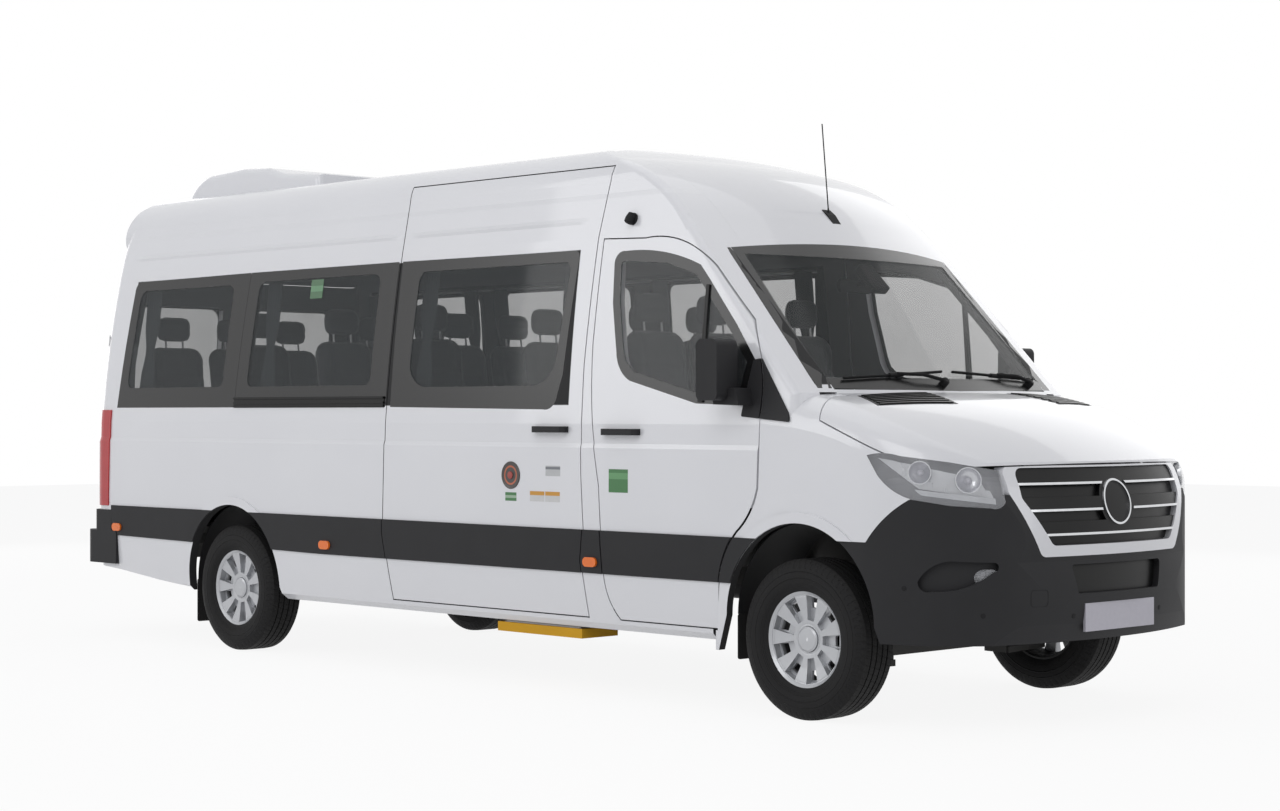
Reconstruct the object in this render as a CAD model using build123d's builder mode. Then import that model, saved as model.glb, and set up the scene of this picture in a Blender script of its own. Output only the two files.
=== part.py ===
"""Long-wheelbase, high-roof minibus, built as separate panels, glazing, running gear and seats.

Frame: origin on the ground under the middle of the overall length, +X forward, +Y to the vehicle's left,
+Z up.
All sizes are in millimetres.
"""

from build123d import *
from math import atan2, copysign, cos, degrees, hypot, pi, radians, sin, sqrt, tan
import os

os.makedirs("parts", exist_ok=True)

# ---------------------------------------------------------------- driving dimensions
overall_length = 6967.0
wheelbase = 4325.0
front_overhang = 1004.0
half_width = 1010.0  # at the fattest point of the body side
roof_crown = 2700.0
sill_bottom = 320.0
wall = 50.0  # doors and side walls, outer skin to inner trim

nose_x = overall_length / 2
tail_x = -overall_length / 2
front_axle_x = nose_x - front_overhang
rear_axle_x = front_axle_x - wheelbase

# ---------------------------------------------------------------- body forms
crease_z = 1195.0
crease_step = 7.0
waist_z = 1300.0
waist_half = half_width - 7
seam_z = 2200.0  # where the high roof sits on the side wall
seam_half = half_width - 105
cant_z = 2470.0  # where the high roof's side turns over
cant_half = half_width - 158
screen_top_x = 1950.0
screen_top_z = 2150.0
screen_base_x = 2606.0
screen_base_z = 1440.0
screen_round = 2690.0  # plan radius of the screen's top edge
roof_fall_x = 660.0  # where the flat roof starts to fall to the screen

rear_face_x = -3300.0
rear_corner_r = 110.0
pillar_r = 45.0

nose_round = 2400.0  # plan radius of the middle of the nose
nose_corner_r = 650.0
nose_half = half_width - 5
shoulder_r = 150.0


def box_form(inset):
    """Cabin and load space as one solid, its skin moved in by inset; an inner form is open below."""
    low = 0 if inset else sill_bottom
    with BuildPart() as form:
        with BuildSketch(Plane.YZ) as section:
            with BuildLine():
                side = half_width - inset
                if inset:
                    Polyline((0, low), (side - 25, low), (side - 25, sill_bottom + 30))
                else:
                    Polyline((0, low), (side - 55, low), (side - 25, sill_bottom + 30))
                ThreePointArc((side - 25, sill_bottom + 30), (side - 6, 620), (side, 900))
                ThreePointArc((side, 900), (side - 0.5, 1050), (side - 1, crease_z - 10))
                Line((side - 1, crease_z - 10), (side - 1 - crease_step, crease_z + 12))
                Line((side - 1 - crease_step, crease_z + 12), (waist_half - 2 - inset, waist_z))
                ThreePointArc(
                    (waist_half - 2 - inset, waist_z),
                    (half_width - 48 - inset, 1760),
                    (seam_half - inset, seam_z),
                )
                Line((seam_half - inset, seam_z), (cant_half - inset, cant_z - 0.2 * inset))
                ThreePointArc(
                    (cant_half - inset, cant_z - 0.2 * inset),
                    (795 - 0.75 * inset, 2592 - 0.66 * inset),
                    (640 - 0.3 * inset, roof_crown - 53 - 0.95 * inset),
                )
                ThreePointArc(
                    (640 - 0.3 * inset, roof_crown - 53 - 0.95 * inset),
                    (330, roof_crown - 14 - inset),
                    (0, roof_crown - inset),
                )
                Line((0, roof_crown - inset), (0, low))
            make_face()
            mirror(about=Plane.YZ)
        extrude(amount=nose_x)
        # the screen and the roof's fall, turned about an upright axis so that they bow in plan
        turn_x = screen_top_x - screen_round
        with BuildSketch(Plane.XZ):
            with BuildLine():
                Polyline(
                    (turn_x, 0),
                    (screen_base_x - inset, 0),
                    (screen_base_x - inset, screen_base_z),
                    (screen_top_x - 1.1 * inset, screen_top_z - 0.3 * inset),
                )
                TangentArc(
                    (screen_top_x - 1.1 * inset, screen_top_z - 0.3 * inset),
                    (1824 - 1.1 * inset, 2284 - 0.3 * inset),
                    tangent=(screen_top_x - screen_base_x, screen_top_z - screen_base_z),
                )
                ThreePointArc(
                    (1824 - 1.1 * inset, 2284 - 0.3 * inset),
                    (1590 - 0.6 * inset, 2470 - 0.8 * inset),
                    (1250, 2600 - inset),
                )
                ThreePointArc(
                    (1250, 2600 - inset),
                    (960, 2669 - inset),
                    (roof_fall_x, roof_crown - inset),
                )
                Polyline((roof_fall_x, roof_crown - inset), (turn_x, roof_crown - inset), (turn_x, 0))
            make_face()
        revolve(axis=Axis((turn_x, 0, 0), (0, 0, 1)), mode=Mode.INTERSECT)
        extrude(section.sketch, amount=tail_x)
        # the rear leans forward as it rises and rolls over into the roof
        rear = rear_face_x + inset
        with BuildSketch(Plane.XZ):
            with BuildLine():
                Polyline((nose_x, roof_crown), (nose_x, 0), (rear, 0), (rear, 1000))
                ThreePointArc((rear, 1000), (rear + 16, 1640), (rear + 62, 2200))
                ThreePointArc((rear + 62, 2200), (rear + 110, 2430), (rear + 200, 2580 - 0.5 * inset))
                ThreePointArc(
                    (rear + 200, 2580 - 0.5 * inset),
                    (rear + 370, 2664 - 0.8 * inset),
                    (rear + 760, roof_crown + 25),
                )
                Polyline((rear + 760, roof_crown + 25), (nose_x, roof_crown + 25), (nose_x, roof_crown))
            make_face()
        extrude(amount=half_width + 10, both=True, mode=Mode.INTERSECT)
        # screen pillars
        pillars = form.edges().filter_by(
            lambda e: e.bounding_box().min.X > roof_fall_x
            and e.bounding_box().min.Z > sill_bottom + 20
            and e.bounding_box().size.Z > 15
            and abs(e.center().Y) > 600
        )
        fillet(pillars, pillar_r - 0.35 * inset)
    return form.part


def rear_corners(form):
    """Upright edges where the sides meet the rear face."""
    return form.edges().filter_by(
        lambda e: e.bounding_box().max.X < rear_face_x + 260
        and e.bounding_box().min.Z > sill_bottom + 20
        and e.bounding_box().max.Z < cant_z + 10
        and e.bounding_box().size.Z > 15
        and e.bounding_box().size.Y < 200
    )


def lower_form(box, inset):
    """The box below the roof seam."""
    with BuildPart() as form:
        add(box)
        split(bisect_by=Plane.XY.offset(seam_z), keep=Keep.BOTTOM)
        fillet(rear_corners(form), rear_corner_r - inset)
    return form.part


def roof_form(box, inset):
    """The high roof above the seam."""
    with BuildPart() as form:
        add(box)
        split(bisect_by=Plane.XY.offset(seam_z), keep=Keep.TOP)
        fillet(rear_corners(form), rear_corner_r - inset)
    return form.part


def nose_form(inset):
    """Bonnet, wings and bumper as one solid: a turned profile trimmed by the plan of the nose."""
    turn_x = nose_x - 8.5 - nose_round
    with BuildPart() as form:
        with BuildSketch(Plane.XZ):
            with BuildLine():
                Polyline((turn_x, 0), (nose_x - 40 - inset, 0), (nose_x - 40 - inset, sill_bottom + 50))
                Line((nose_x - 40 - inset, sill_bottom + 50), (nose_x - 10 - inset, 450))
                ThreePointArc((nose_x - 10 - inset, 450), (nose_x - inset, 560), (nose_x - 13 - inset, 720))
                ThreePointArc(
                    (nose_x - 13 - inset, 720), (nose_x - 11 - inset, 890), (nose_x - 43 - inset, 1040)
                )
                Line((nose_x - 43 - inset, 1040), (nose_x - 86 - inset, 1142 - 0.5 * inset))
                ThreePointArc(
                    (nose_x - 86 - inset, 1142 - 0.5 * inset),
                    (nose_x - 333 - 0.6 * inset, 1300 - 0.9 * inset),
                    (nose_x - 893, 1448 - inset),
                )
                Polyline((nose_x - 893, 1448 - inset), (1900, 1500 - inset), (turn_x, 1500 - inset),
                    (turn_x, 0))
            make_face()
        revolve(axis=Axis((turn_x, 0, 0), (0, 0, 1)))
        with BuildSketch(Plane.XY):
            with BuildLine():
                # sides, corner arcs that run into the big central arc
                big = nose_round + 8.5 - inset
                small = nose_corner_r - inset
                side = nose_half - inset
                corner_y = side - small
                corner_x = turn_x + sqrt((big - small) ** 2 - corner_y**2)
                reach = big / (big - small)
                meet = (turn_x + (corner_x - turn_x) * reach, corner_y * reach)
                turn = radians(45 + 0.5 * degrees(atan2(corner_y, corner_x - turn_x)))
                Polyline((1900, 0), (1900, side), (corner_x, side))
                ThreePointArc(
                    (corner_x, side),
                    (corner_x + small * cos(turn), corner_y + small * sin(turn)),
                    meet,
                )
                ThreePointArc(
                    meet,
                    (turn_x + big * cos(0.5 * atan2(meet[1], meet[0] - turn_x)),
                     big * sin(0.5 * atan2(meet[1], meet[0] - turn_x))),
                    (turn_x + big, 0),
                )
                Line((turn_x + big, 0), (1900, 0))
            make_face()
            mirror(about=Plane.XZ)
        extrude(amount=1600, mode=Mode.INTERSECT)
        shoulders = form.edges().filter_by(
            lambda e: e.geom_type != GeomType.LINE
            and e.bounding_box().size.Z > 30
            and e.bounding_box().min.Z > 1142 - 0.5 * inset - 5
            and e.bounding_box().min.X > 2150
            and e.bounding_box().max.Z < 1460 - inset
        )
        fillet(shoulders, shoulder_r)
    return form.part


def trace(plane, start, *steps, grow=0, round_off=0):
    """A closed outline: each step is a point to run to, or a pair (on the way, end) for an arc."""
    with BuildSketch(plane, mode=Mode.PRIVATE) as sketch:
        with BuildLine():
            here = start
            for step in steps:
                if isinstance(step[0], tuple):
                    ThreePointArc(here, step[0], step[1])
                    here = step[1]
                else:
                    Line(here, step)
                    here = step
            if here != start:
                Line(here, start)
        make_face()
        if round_off:
            fillet(sketch.vertices(), round_off)
        if grow:
            offset(amount=grow, kind=Kind.INTERSECTION)
    return sketch.sketch


def save(part, label):
    part.label = label
    export_step(part, f"parts/{label}.step")


SIDES = (("right", -1), ("left", 1))
reach = half_width + 200  # past the skin on either side

# ---------------------------------------------------------------- skins
proud = 8.0  # plastic cladding stands this far out from the skin
glass_t = 6.0
gap = 6.0  # round every door
hinge_gap = 8.0
nose_wall = 40.0

outer_box = box_form(0)
glass_box = box_form(glass_t)
inner_box = box_form(wall)
clad_box = box_form(-proud)

with BuildPart() as lower_shell:
    add(lower_form(outer_box, 0))
    add(lower_form(inner_box, wall), mode=Mode.SUBTRACT, clean=False)

with BuildPart() as roof_shell:
    add(roof_form(outer_box, 0))
    add(roof_form(inner_box, wall), mode=Mode.SUBTRACT, clean=False)

with BuildPart() as lower_glass:
    add(lower_form(outer_box, 0))
    add(lower_form(glass_box, glass_t), mode=Mode.SUBTRACT, clean=False)

with BuildPart() as nose_shell:
    add(nose_form(0))
    add(nose_form(nose_wall), mode=Mode.SUBTRACT, clean=False)

lower_skin = lower_form(outer_box, 0)
lower_proud = lower_form(clad_box, -proud)
nose_skin = nose_form(0)
nose_proud = nose_form(-proud)

# ---------------------------------------------------------------- outlines on the body side (XZ)
door_bottom_z = 376.0
door_outline = trace(
    Plane.XZ,
    (1148, 2186),
    (1136, 1680),
    ((1165, 1300), (1216, 1009)),
    (1243, 597),
    ((1275, 470), (1347, door_bottom_z)),
    (1989, door_bottom_z),
    (1996, 540),
    ((2032, 700), (2110, 820)),
    ((2195, 915), (2238, 1020)),
    (2250, 1331),
    ((2235, 1610), (2150, 1770)),
    (1905, 2022),
    ((1700, 2145), (1434, 2176)),
)
door_opening = offset(door_outline, amount=gap, kind=Kind.INTERSECTION)
door_pane_outline = trace(
    Plane.XZ,
    (1250, 1875),
    (1236, 2060),
    ((1250, 2105), (1303, 2123)),
    ((1600, 2100), (1816, 2035)),
    (1883, 1966),
    (2079, 1750),
    (2205, 1590),
    (2150, 1385),
    (1848, 1395),
    (1404, 1503),
    ((1325, 1570), (1300, 1640)),
)
window_low_z, window_high_z = 1383.0, 2150.0
slide_front_x, slide_rear_x = 1138.0, -404.0
slide_top_z = 2545.0
slide_outline = trace(
    Plane.XZ,
    (slide_rear_x, slide_top_z),
    (slide_rear_x, seam_z),
    (slide_rear_x - 40, 720),
    (slide_rear_x + 26, door_bottom_z),
    (slide_front_x - 16, door_bottom_z),
    (1082, 640),
    (1103, 800),
    (1086, 1060),
    (1078, 1585),
    (1102, seam_z),
    (slide_front_x, slide_top_z),
)
slide_opening = offset(slide_outline, amount=gap, kind=Kind.INTERSECTION)
rear_window = trace(
    Plane.XZ, (-3060, window_low_z), (-2972, 2080), ((-2950, 2130), (-2890, window_high_z - 8)),
    (-1774, window_high_z), (-1830, window_low_z),
)
mid_window = trace(
    Plane.XZ, (-1826, window_low_z), (-1770, window_high_z), (slide_rear_x - 20, window_high_z),
    (slide_rear_x - 38, window_low_z),
)
slide_window = trace(
    Plane.XZ, (slide_rear_x + 4, window_low_z), (slide_rear_x + 10, window_high_z), (946, 2142),
    ((975, 2130), (982, 2103)), (932, 1538), (900, 1439), ((870, 1385), (805, 1369)),
)
left_window = trace(
    Plane.XZ, (slide_rear_x - 14, window_low_z), (slide_rear_x - 8, window_high_z), (946, 2142),
    ((975, 2130), (982, 2103)), (932, 1538), (900, 1439), ((870, 1385), (805, 1376)),
)
pane_edge = 60.0  # width of the bonded border hidden behind the panel


def arch(axle_x, centre_z, radius, front_reach, rear_reach, grow=0):
    """Wheel arch: a half circle that opens out towards the sill."""
    with BuildSketch(Plane.XZ, mode=Mode.PRIVATE) as sketch:
        with Locations((axle_x, centre_z)):
            Circle(radius + grow)
        with BuildLine():
            Polyline(
                (axle_x + radius + grow, centre_z),
                (axle_x + front_reach + grow, sill_bottom - 40),
                (axle_x - rear_reach - grow, sill_bottom - 40),
                (axle_x - radius - grow, centre_z),
                (axle_x + radius + grow, centre_z),
            )
        make_face()
    return sketch.sketch


ring = 48.0  # width of the plastic band round a wheel arch
front_arch = arch(front_axle_x, 441, 428, 492, 476)
front_ring = arch(front_axle_x, 441, 428, 492, 476, ring)
rear_arch = arch(rear_axle_x + 4, 384, 446, 503, 446)
rear_ring = arch(rear_axle_x + 4, 384, 446, 503, 446, ring)

# the sill climbs from the rear wheel to the bumper
sill_rise = trace(Plane.XZ, (-3500, 200), (-3500, 440), (-3036, 408), (-2607, 364), (-2296, 339),
    (-2240, 200))

belt_low_z, belt_high_z = 586.0, 793.0
belt = trace(
    Plane.XZ, (-3095, belt_low_z + 28), (-3095, belt_high_z), (2300, belt_high_z), (2300, belt_low_z),
    (-1000, belt_low_z),
)
# corner plate that carries the mirror and runs on past the door
mirror_plate = trace(Plane.XZ, (2140, 1336), (2435, 1312), (2425, 1350), (2248, 1596), (2200, 1590),
    round_off=8)

# rear doors
rear_door_low_z = 700.0
rear_door_high_z = 2180.0
rear_opening_half = 893.0
side_rear_x = -3095.0

# windscreen, seen from the front (YZ)
screen = trace(Plane.YZ, (0, 1452), (-862, 1462), (-800, 2118), ((0, 2160), (800, 2118)), (862, 1462))
screen_hole = trace(Plane.YZ, (0, 1425), (-824, 1425), (-768, 2085), ((0, 2122), (768, 2085)), (824, 1425))

# bonnet line and bumper line on the side of the nose
bonnet_back_x = 2573.0
bonnet_cut = trace(
    Plane.XZ,
    (2602, 1321),
    (2785, 1250),
    (3090, 1128),
    (3240, 1124),
    (nose_x + 20, 1140),
    (nose_x + 20, 1600),
    (bonnet_back_x, 1600),
    (bonnet_back_x, 1439),
)
bonnet_gap_cut = offset(bonnet_cut, amount=gap, kind=Kind.INTERSECTION)
bumper_cut = trace(
    Plane.XZ,
    (2500, 200),
    (2500, 800),
    (2865, 800),
    ((2950, 900), (3060, 985)),
    (3120, 1006),
    (nose_x + 20, 1006),
    (nose_x + 20, 200),
)

# lamps are drawn on a plane square to the nose's corner
corner_turn = 45.77
corner_origin = Vector(3060, -900, 0)


def corner_plane(side):
    """Upright plane facing outward across the corner; its x runs towards the middle of the nose."""
    turn = radians(corner_turn)
    return Plane(
        origin=(corner_origin.X, side * abs(corner_origin.Y), 0),
        x_dir=(cos(turn), -side * sin(turn), 0),
        z_dir=(sin(turn), side * cos(turn), 0),
    )


def on_corner(side, points, **kwargs):
    """Outline drawn on the corner plane; the left side's plane looks the other way, so x is turned about."""
    flip = 1 if side < 0 else -1
    def turned(step):
        return tuple(turned(p) for p in step) if isinstance(step[0], tuple) else (flip * step[0], step[1])
    plane = corner_plane(side)
    if side > 0:
        plane = Plane(origin=plane.origin, x_dir=-plane.x_dir, z_dir=plane.z_dir)
    return trace(plane, *[turned(step) for step in points], **kwargs)


lamp_points = (
    (-204, 1172),
    ((-180, 1178), (-72, 1170)),
    (133, 1144),
    (349, 1107),
    (370, 977),
    ((352, 955), (311, 950)),
    (133, 961),
    (-19, 985),
    ((-110, 1030), (-164, 1091)),
)
fog_points = (
    (0, 640), ((60, 705), (170, 726)), (322, 722), ((340, 700), (318, 682)), ((200, 618), (60, 600)),
    ((15, 606), (0, 640))
)

# ---------------------------------------------------------------- body panels
roof_low_front_x = 1500.0


def side_windows(side):
    return (rear_window, mid_window) + ((left_window,) if side > 0 else ())


with BuildPart() as glass_skin:
    add(lower_skin)
    add(lower_form(glass_box, glass_t), mode=Mode.SUBTRACT)

window_panes = {}
for name, side in SIDES:
    with BuildPart() as side_glass:
        for window in side_windows(side):
            extrude(window, amount=-side * reach)
        add(glass_skin.part, mode=Mode.INTERSECT)
    window_panes[side] = side_glass.part

# windscreen: bonded glass lapping over the pillars and header
with BuildPart() as windscreen:
    add(glass_skin.part)
    extrude(screen, amount=nose_x, mode=Mode.INTERSECT, clean=False)
    split(bisect_by=Plane.YZ.offset(1400), keep=Keep.TOP)
save(windscreen.part, "windshield")

with BuildPart() as tail_lamps:
    extrude(trace(Plane.XZ, (-3400, 790), (-3128, 790), (-3112, 1370), (-3400, 1370)), amount=reach,
        both=True)
    with Locations((rear_face_x, 0, 1000)):
        Box(500, 2 * (rear_opening_half + 5), 2000, mode=Mode.SUBTRACT)
    add(lower_proud, mode=Mode.INTERSECT, clean=False)
    add(lower_form(glass_box, glass_t), mode=Mode.SUBTRACT, clean=False)
save(tail_lamps.part, "tail_lamps")

side_panels = {}
for name, side in SIDES:
    out = -side * reach
    with BuildPart() as side_panel:
        add(lower_shell.part)
        # keep the side wall, the rear corner post and the screen pillar
        with BuildSketch(Plane.XY):
            with Locations((0, side * half_width)):
                Rectangle(2 * overall_length, 2 * (half_width - 780))
        extrude(amount=3000, mode=Mode.INTERSECT, clean=False)
        extrude(trace(Plane.YZ.offset(-3600), (side * 700, 0), (side * rear_opening_half, 0),
                      (side * rear_opening_half, seam_z + 10), (side * 700, seam_z + 10)),
                amount=500, mode=Mode.SUBTRACT, clean=False)
        extrude(door_opening, amount=out, mode=Mode.SUBTRACT, clean=False)
        extrude(rear_arch, amount=out, mode=Mode.SUBTRACT, clean=False)
        extrude(sill_rise, amount=out, mode=Mode.SUBTRACT, clean=False)
        extrude(trace(Plane.XZ, (2180, 0), (2180, 1340), (2258, 1340), (2330, 1444), (2700, 1444),
            (2700, 0)),
                amount=out, mode=Mode.SUBTRACT, clean=False)
        extrude(trace(Plane.XZ, (1950, 0), (1950, 700), (2300, 1000), (2300, 0)), amount=out,
            mode=Mode.SUBTRACT, clean=False)
        if side < 0:
            extrude(slide_opening, amount=out, mode=Mode.SUBTRACT, clean=False)
        for window in side_windows(side):
            extrude(offset(window, amount=-pane_edge), amount=out, mode=Mode.SUBTRACT, clean=False)
        add(window_panes[side], mode=Mode.SUBTRACT, clean=False)
        add(windscreen.part, mode=Mode.SUBTRACT, clean=False)
        add(tail_lamps.part, mode=Mode.SUBTRACT, clean=False)
    side_panels[side] = side_panel.part
    save(side_panel.part, f"side_panel_{name}")

with BuildPart() as side_windows_part:
    for side in (-1, 1):
        add(window_panes[side])
save(side_windows_part.part, "side_windows")

# roof with the header over the screen and the one over the rear doors
with BuildPart() as roof:
    add(roof_shell.part)
    extrude(slide_opening, amount=reach, mode=Mode.SUBTRACT, clean=False)
    # cooling unit's opening is inside its housing; the roof skin stays closed
with BuildPart() as header:
    add(lower_shell.part)
    with BuildSketch(Plane.XY.offset(2118)):
        with Locations((screen_top_x, 0)):
            Rectangle(900, 2 * 780)
    extrude(amount=seam_z - 2118, mode=Mode.INTERSECT, clean=False)
    extrude(screen_hole, amount=nose_x, mode=Mode.SUBTRACT, clean=False)
    add(windscreen.part, mode=Mode.SUBTRACT, clean=False)
with BuildPart() as rear_header:
    add(lower_shell.part)
    with BuildSketch(Plane.XY.offset(rear_door_high_z + gap)):
        with Locations((rear_face_x, 0)):
            Rectangle(300, 2 * rear_opening_half)
    extrude(amount=seam_z - rear_door_high_z - gap, mode=Mode.INTERSECT, clean=False)
with BuildPart() as roof_panel:
    add(roof.part)
    add(header.part)
    add(rear_header.part)
save(roof_panel.part, "roof_panel")

# rear doors
rear_centre_gap = 12.0
for name, side in SIDES:
    with BuildPart() as rear_door:
        add(lower_shell.part)
        extrude(trace(Plane.YZ.offset(rear_face_x - 60), (side * rear_centre_gap / 2, rear_door_low_z),
                      (side * (rear_opening_half - hinge_gap), rear_door_low_z),
                      (side * (rear_opening_half - hinge_gap), rear_door_high_z),
                      (side * rear_centre_gap / 2, rear_door_high_z)),
                amount=240, mode=Mode.INTERSECT, clean=False)
        rear_pane = trace(Plane.YZ.offset(rear_face_x - 60), (side * 90, 1420), (side * 800, 1420),
            (side * 790, 2060),
                          (side * 90, 2060), round_off=60)
        extrude(offset(rear_pane, amount=-40), amount=240, mode=Mode.SUBTRACT, clean=False)
    with BuildPart() as rear_glass:
        add(glass_skin.part)
        extrude(rear_pane, amount=240, mode=Mode.INTERSECT, clean=False)
    with BuildPart() as rear_door_cut:
        add(rear_door.part)
        add(rear_glass.part, mode=Mode.SUBTRACT, clean=False)
    save(rear_door_cut.part, f"rear_door_{name}")
    save(rear_glass.part, f"rear_door_glass_{name}")

# ---------------------------------------------------------------- front doors
front_gap = 8.0
handle_z = 1262.0


def pull_handle(x0, x1, z, side):
    """Bow handle standing off the skin on two feet."""
    skin_y = waist_half + 1
    with BuildPart() as handle:
        with BuildSketch(Plane.XY.offset(z - 15)):
            with BuildLine():
                Polyline(
                    (x0, side * (skin_y - 14)), (x0, side * (skin_y + 22)), (x0 + 22, side * (skin_y + 40)),
                    (x1 - 22, side * (skin_y + 40)), (x1, side * (skin_y + 22)), (x1, side * (skin_y - 14)),
                    (x1 - 34, side * (skin_y - 14)), (x1 - 34, side * (skin_y + 20)),
                    (x0 + 34, side * (skin_y + 20)),
                    (x0 + 34, side * (skin_y - 14)), (x0, side * (skin_y - 14)),
                )
            make_face()
        extrude(amount=30)
        add(lower_skin, mode=Mode.SUBTRACT, clean=False)
    return handle.part


mirror_reach = 1172.0
for name, side in SIDES:
    out = -side * reach
    with BuildPart() as pane:
        add(glass_skin.part)
        extrude(door_pane_outline, amount=out, mode=Mode.INTERSECT, clean=False)
    with BuildPart() as door:
        add(lower_shell.part)
        extrude(door_outline, amount=out, mode=Mode.INTERSECT, clean=False)
        extrude(offset(door_pane_outline, amount=-28), amount=out, mode=Mode.SUBTRACT, clean=False)
        add(pane.part, mode=Mode.SUBTRACT, clean=False)
    save(door.part, f"front_door_{name}")
    save(pane.part, f"front_door_glass_{name}")
    with BuildPart() as door_trim:
        extrude(door_outline, amount=out)
        extrude(belt, amount=out, mode=Mode.INTERSECT)
        with BuildPart(mode=Mode.PRIVATE) as corner_plate:
            extrude(mirror_plate, amount=out)
            extrude(door_outline, amount=out, mode=Mode.INTERSECT)
        add(corner_plate.part)
        add(lower_proud, mode=Mode.INTERSECT, clean=False)
        add(lower_skin, mode=Mode.SUBTRACT, clean=False)
        add(pull_handle(1246, 1491, handle_z, side))
        # mirror arm and housing
        with BuildSketch(Plane.XZ.offset(-side * 1100)):
            with Locations((2085, 1545)):
                RectangleRounded(130, 275, 30)
        extrude(amount=mirror_reach - 1100 if side < 0 else -(mirror_reach - 1100))
        with BuildSketch(Plane.XZ.offset(-side * 1100)):
            with Locations((2085, 1545)):
                RectangleRounded(130, 275, 30)
        extrude(amount=-60 if side < 0 else 60)
        with BuildSketch(Plane.XZ.offset(-side * 1100)):
            with BuildLine():
                Polyline((2040, 1470), (2190, 1462), (2215, 1385), (2060, 1390), (2040, 1470))
            make_face()
        extrude(amount=-150 if side < 0 else 150)
        add(lower_skin, mode=Mode.SUBTRACT, clean=False)
    save(door_trim.part, f"front_door_trim_{name}")

# ---------------------------------------------------------------- sliding door on the right
with BuildPart() as slide_pane:
    add(glass_skin.part)
    extrude(slide_window, amount=reach, mode=Mode.INTERSECT, clean=False)
with BuildPart() as slide_upper:
    add(roof_shell.part)
    extrude(slide_outline, amount=reach, mode=Mode.INTERSECT, clean=False)
with BuildPart() as slide_door:
    add(lower_shell.part)
    extrude(slide_outline, amount=reach, mode=Mode.INTERSECT, clean=False)
    extrude(offset(slide_window, amount=-pane_edge), amount=reach, mode=Mode.SUBTRACT, clean=False)
    add(slide_pane.part, mode=Mode.SUBTRACT, clean=False)
    add(slide_upper.part, clean=False)
save(slide_door.part, "sliding_door")
save(slide_pane.part, "sliding_door_glass")
with BuildPart() as slide_trim:
    extrude(slide_outline, amount=reach)
    extrude(belt, amount=reach, mode=Mode.INTERSECT)
    add(lower_proud, mode=Mode.INTERSECT, clean=False)
    add(lower_skin, mode=Mode.SUBTRACT, clean=False)
    add(pull_handle(753, 993, handle_z + 10, -1))
with BuildPart() as slide_seal:
    extrude(slide_opening, amount=reach)
    extrude(slide_outline, amount=reach, mode=Mode.SUBTRACT)
    add(lower_form(glass_box, glass_t), mode=Mode.INTERSECT, clean=False)
    add(lower_form(inner_box, wall), mode=Mode.SUBTRACT, clean=False)
    split(bisect_by=Plane.XY.offset(sill_bottom + 60), keep=Keep.TOP)
with BuildPart() as slide_fittings:
    add(slide_trim.part)
    add(slide_seal.part)
save(slide_fittings.part, "sliding_door_trim")

# ---------------------------------------------------------------- nose
cowl_half = 780.0
lamp_depth = 60.0
nose_deep = nose_form(lamp_depth)
nose_recess = nose_form(30)
frame_outer = trace(Plane.YZ.offset(3100), (-650, 1126), (-650, 1010), (-500, 739), (500, 739), (650, 1010),
                    (650, 1126), round_off=40)
frame_inner = trace(Plane.YZ.offset(3100), (-590, 1118), (-590, 990), (-440, 786), (440, 786), (590, 990),
                    (590, 1118), round_off=40)
intake = trace(Plane.YZ.offset(3100), (-335, 702), (-300, 577), (300, 577), (335, 702), round_off=15)

with BuildPart() as lamps:
    for side in (-1, 1):
        extrude(on_corner(side, lamp_points), amount=500, both=True)
    add(nose_skin, mode=Mode.INTERSECT, clean=False)
    add(nose_deep, mode=Mode.SUBTRACT, clean=False)
    split(bisect_by=Plane.YZ.offset(2600), keep=Keep.TOP)
save(lamps.part, "headlamps")

with BuildPart() as foot:
    add(lower_shell.part)
    extrude(trace(Plane.XZ, (2246, 1200), (2246, 1340), (2258, 1340), (2330, 1444), (2560, 1444),
        (2560, 1200)),
            amount=reach, mode=Mode.INTERSECT, clean=False)
    split(bisect_by=Plane.XZ.offset(870), keep=Keep.TOP)
with BuildPart() as fender:
    add(nose_shell.part)
    extrude(trace(Plane.XZ, (1985, 280), (1985, 1340), (2258, 1340), (2330, 1444), (3260, 1444),
        (3260, 280)),
            amount=reach, mode=Mode.INTERSECT, clean=False)
    with Locations((2250, 0, 1445)):
        Box(2 * (bonnet_back_x + gap - 2250), 2 * cowl_half, 200, mode=Mode.SUBTRACT)
    add(foot.part)
    split(bisect_by=Plane.XZ.offset(520), keep=Keep.TOP)
    extrude(offset(door_outline, amount=front_gap, kind=Kind.INTERSECTION), amount=reach,
        mode=Mode.SUBTRACT,
            clean=False)
    extrude(front_arch, amount=reach, mode=Mode.SUBTRACT, clean=False)
    extrude(bonnet_gap_cut, amount=reach, mode=Mode.SUBTRACT, clean=False)
    extrude(bumper_cut, amount=reach, mode=Mode.SUBTRACT, clean=False)
    add(lamps.part, mode=Mode.SUBTRACT, clean=False)
    extrude(frame_outer, amount=500, mode=Mode.SUBTRACT, clean=False)
right_fender = fender.part.solids().sort_by(SortBy.VOLUME)[-1]
save(Compound(children=[right_fender, mirror(right_fender, about=Plane.XZ)]), "fenders")

# scuttle under the foot of the screen
with BuildPart() as cowl:
    add(lower_shell.part)
    with Locations((2600, 0, 1428)):
        Box(600, 2 * cowl_half, 56, mode=Mode.INTERSECT)
    add(windscreen.part, mode=Mode.SUBTRACT, clean=False)
save(cowl.part, "cowl")

with BuildPart() as bonnet:
    add(nose_shell.part)
    extrude(bonnet_cut, amount=reach, both=True, mode=Mode.INTERSECT, clean=False)
    add(lamps.part, mode=Mode.SUBTRACT, clean=False)
    add(lower_proud, mode=Mode.SUBTRACT, clean=False)
save(bonnet.part, "bonnet")

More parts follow.
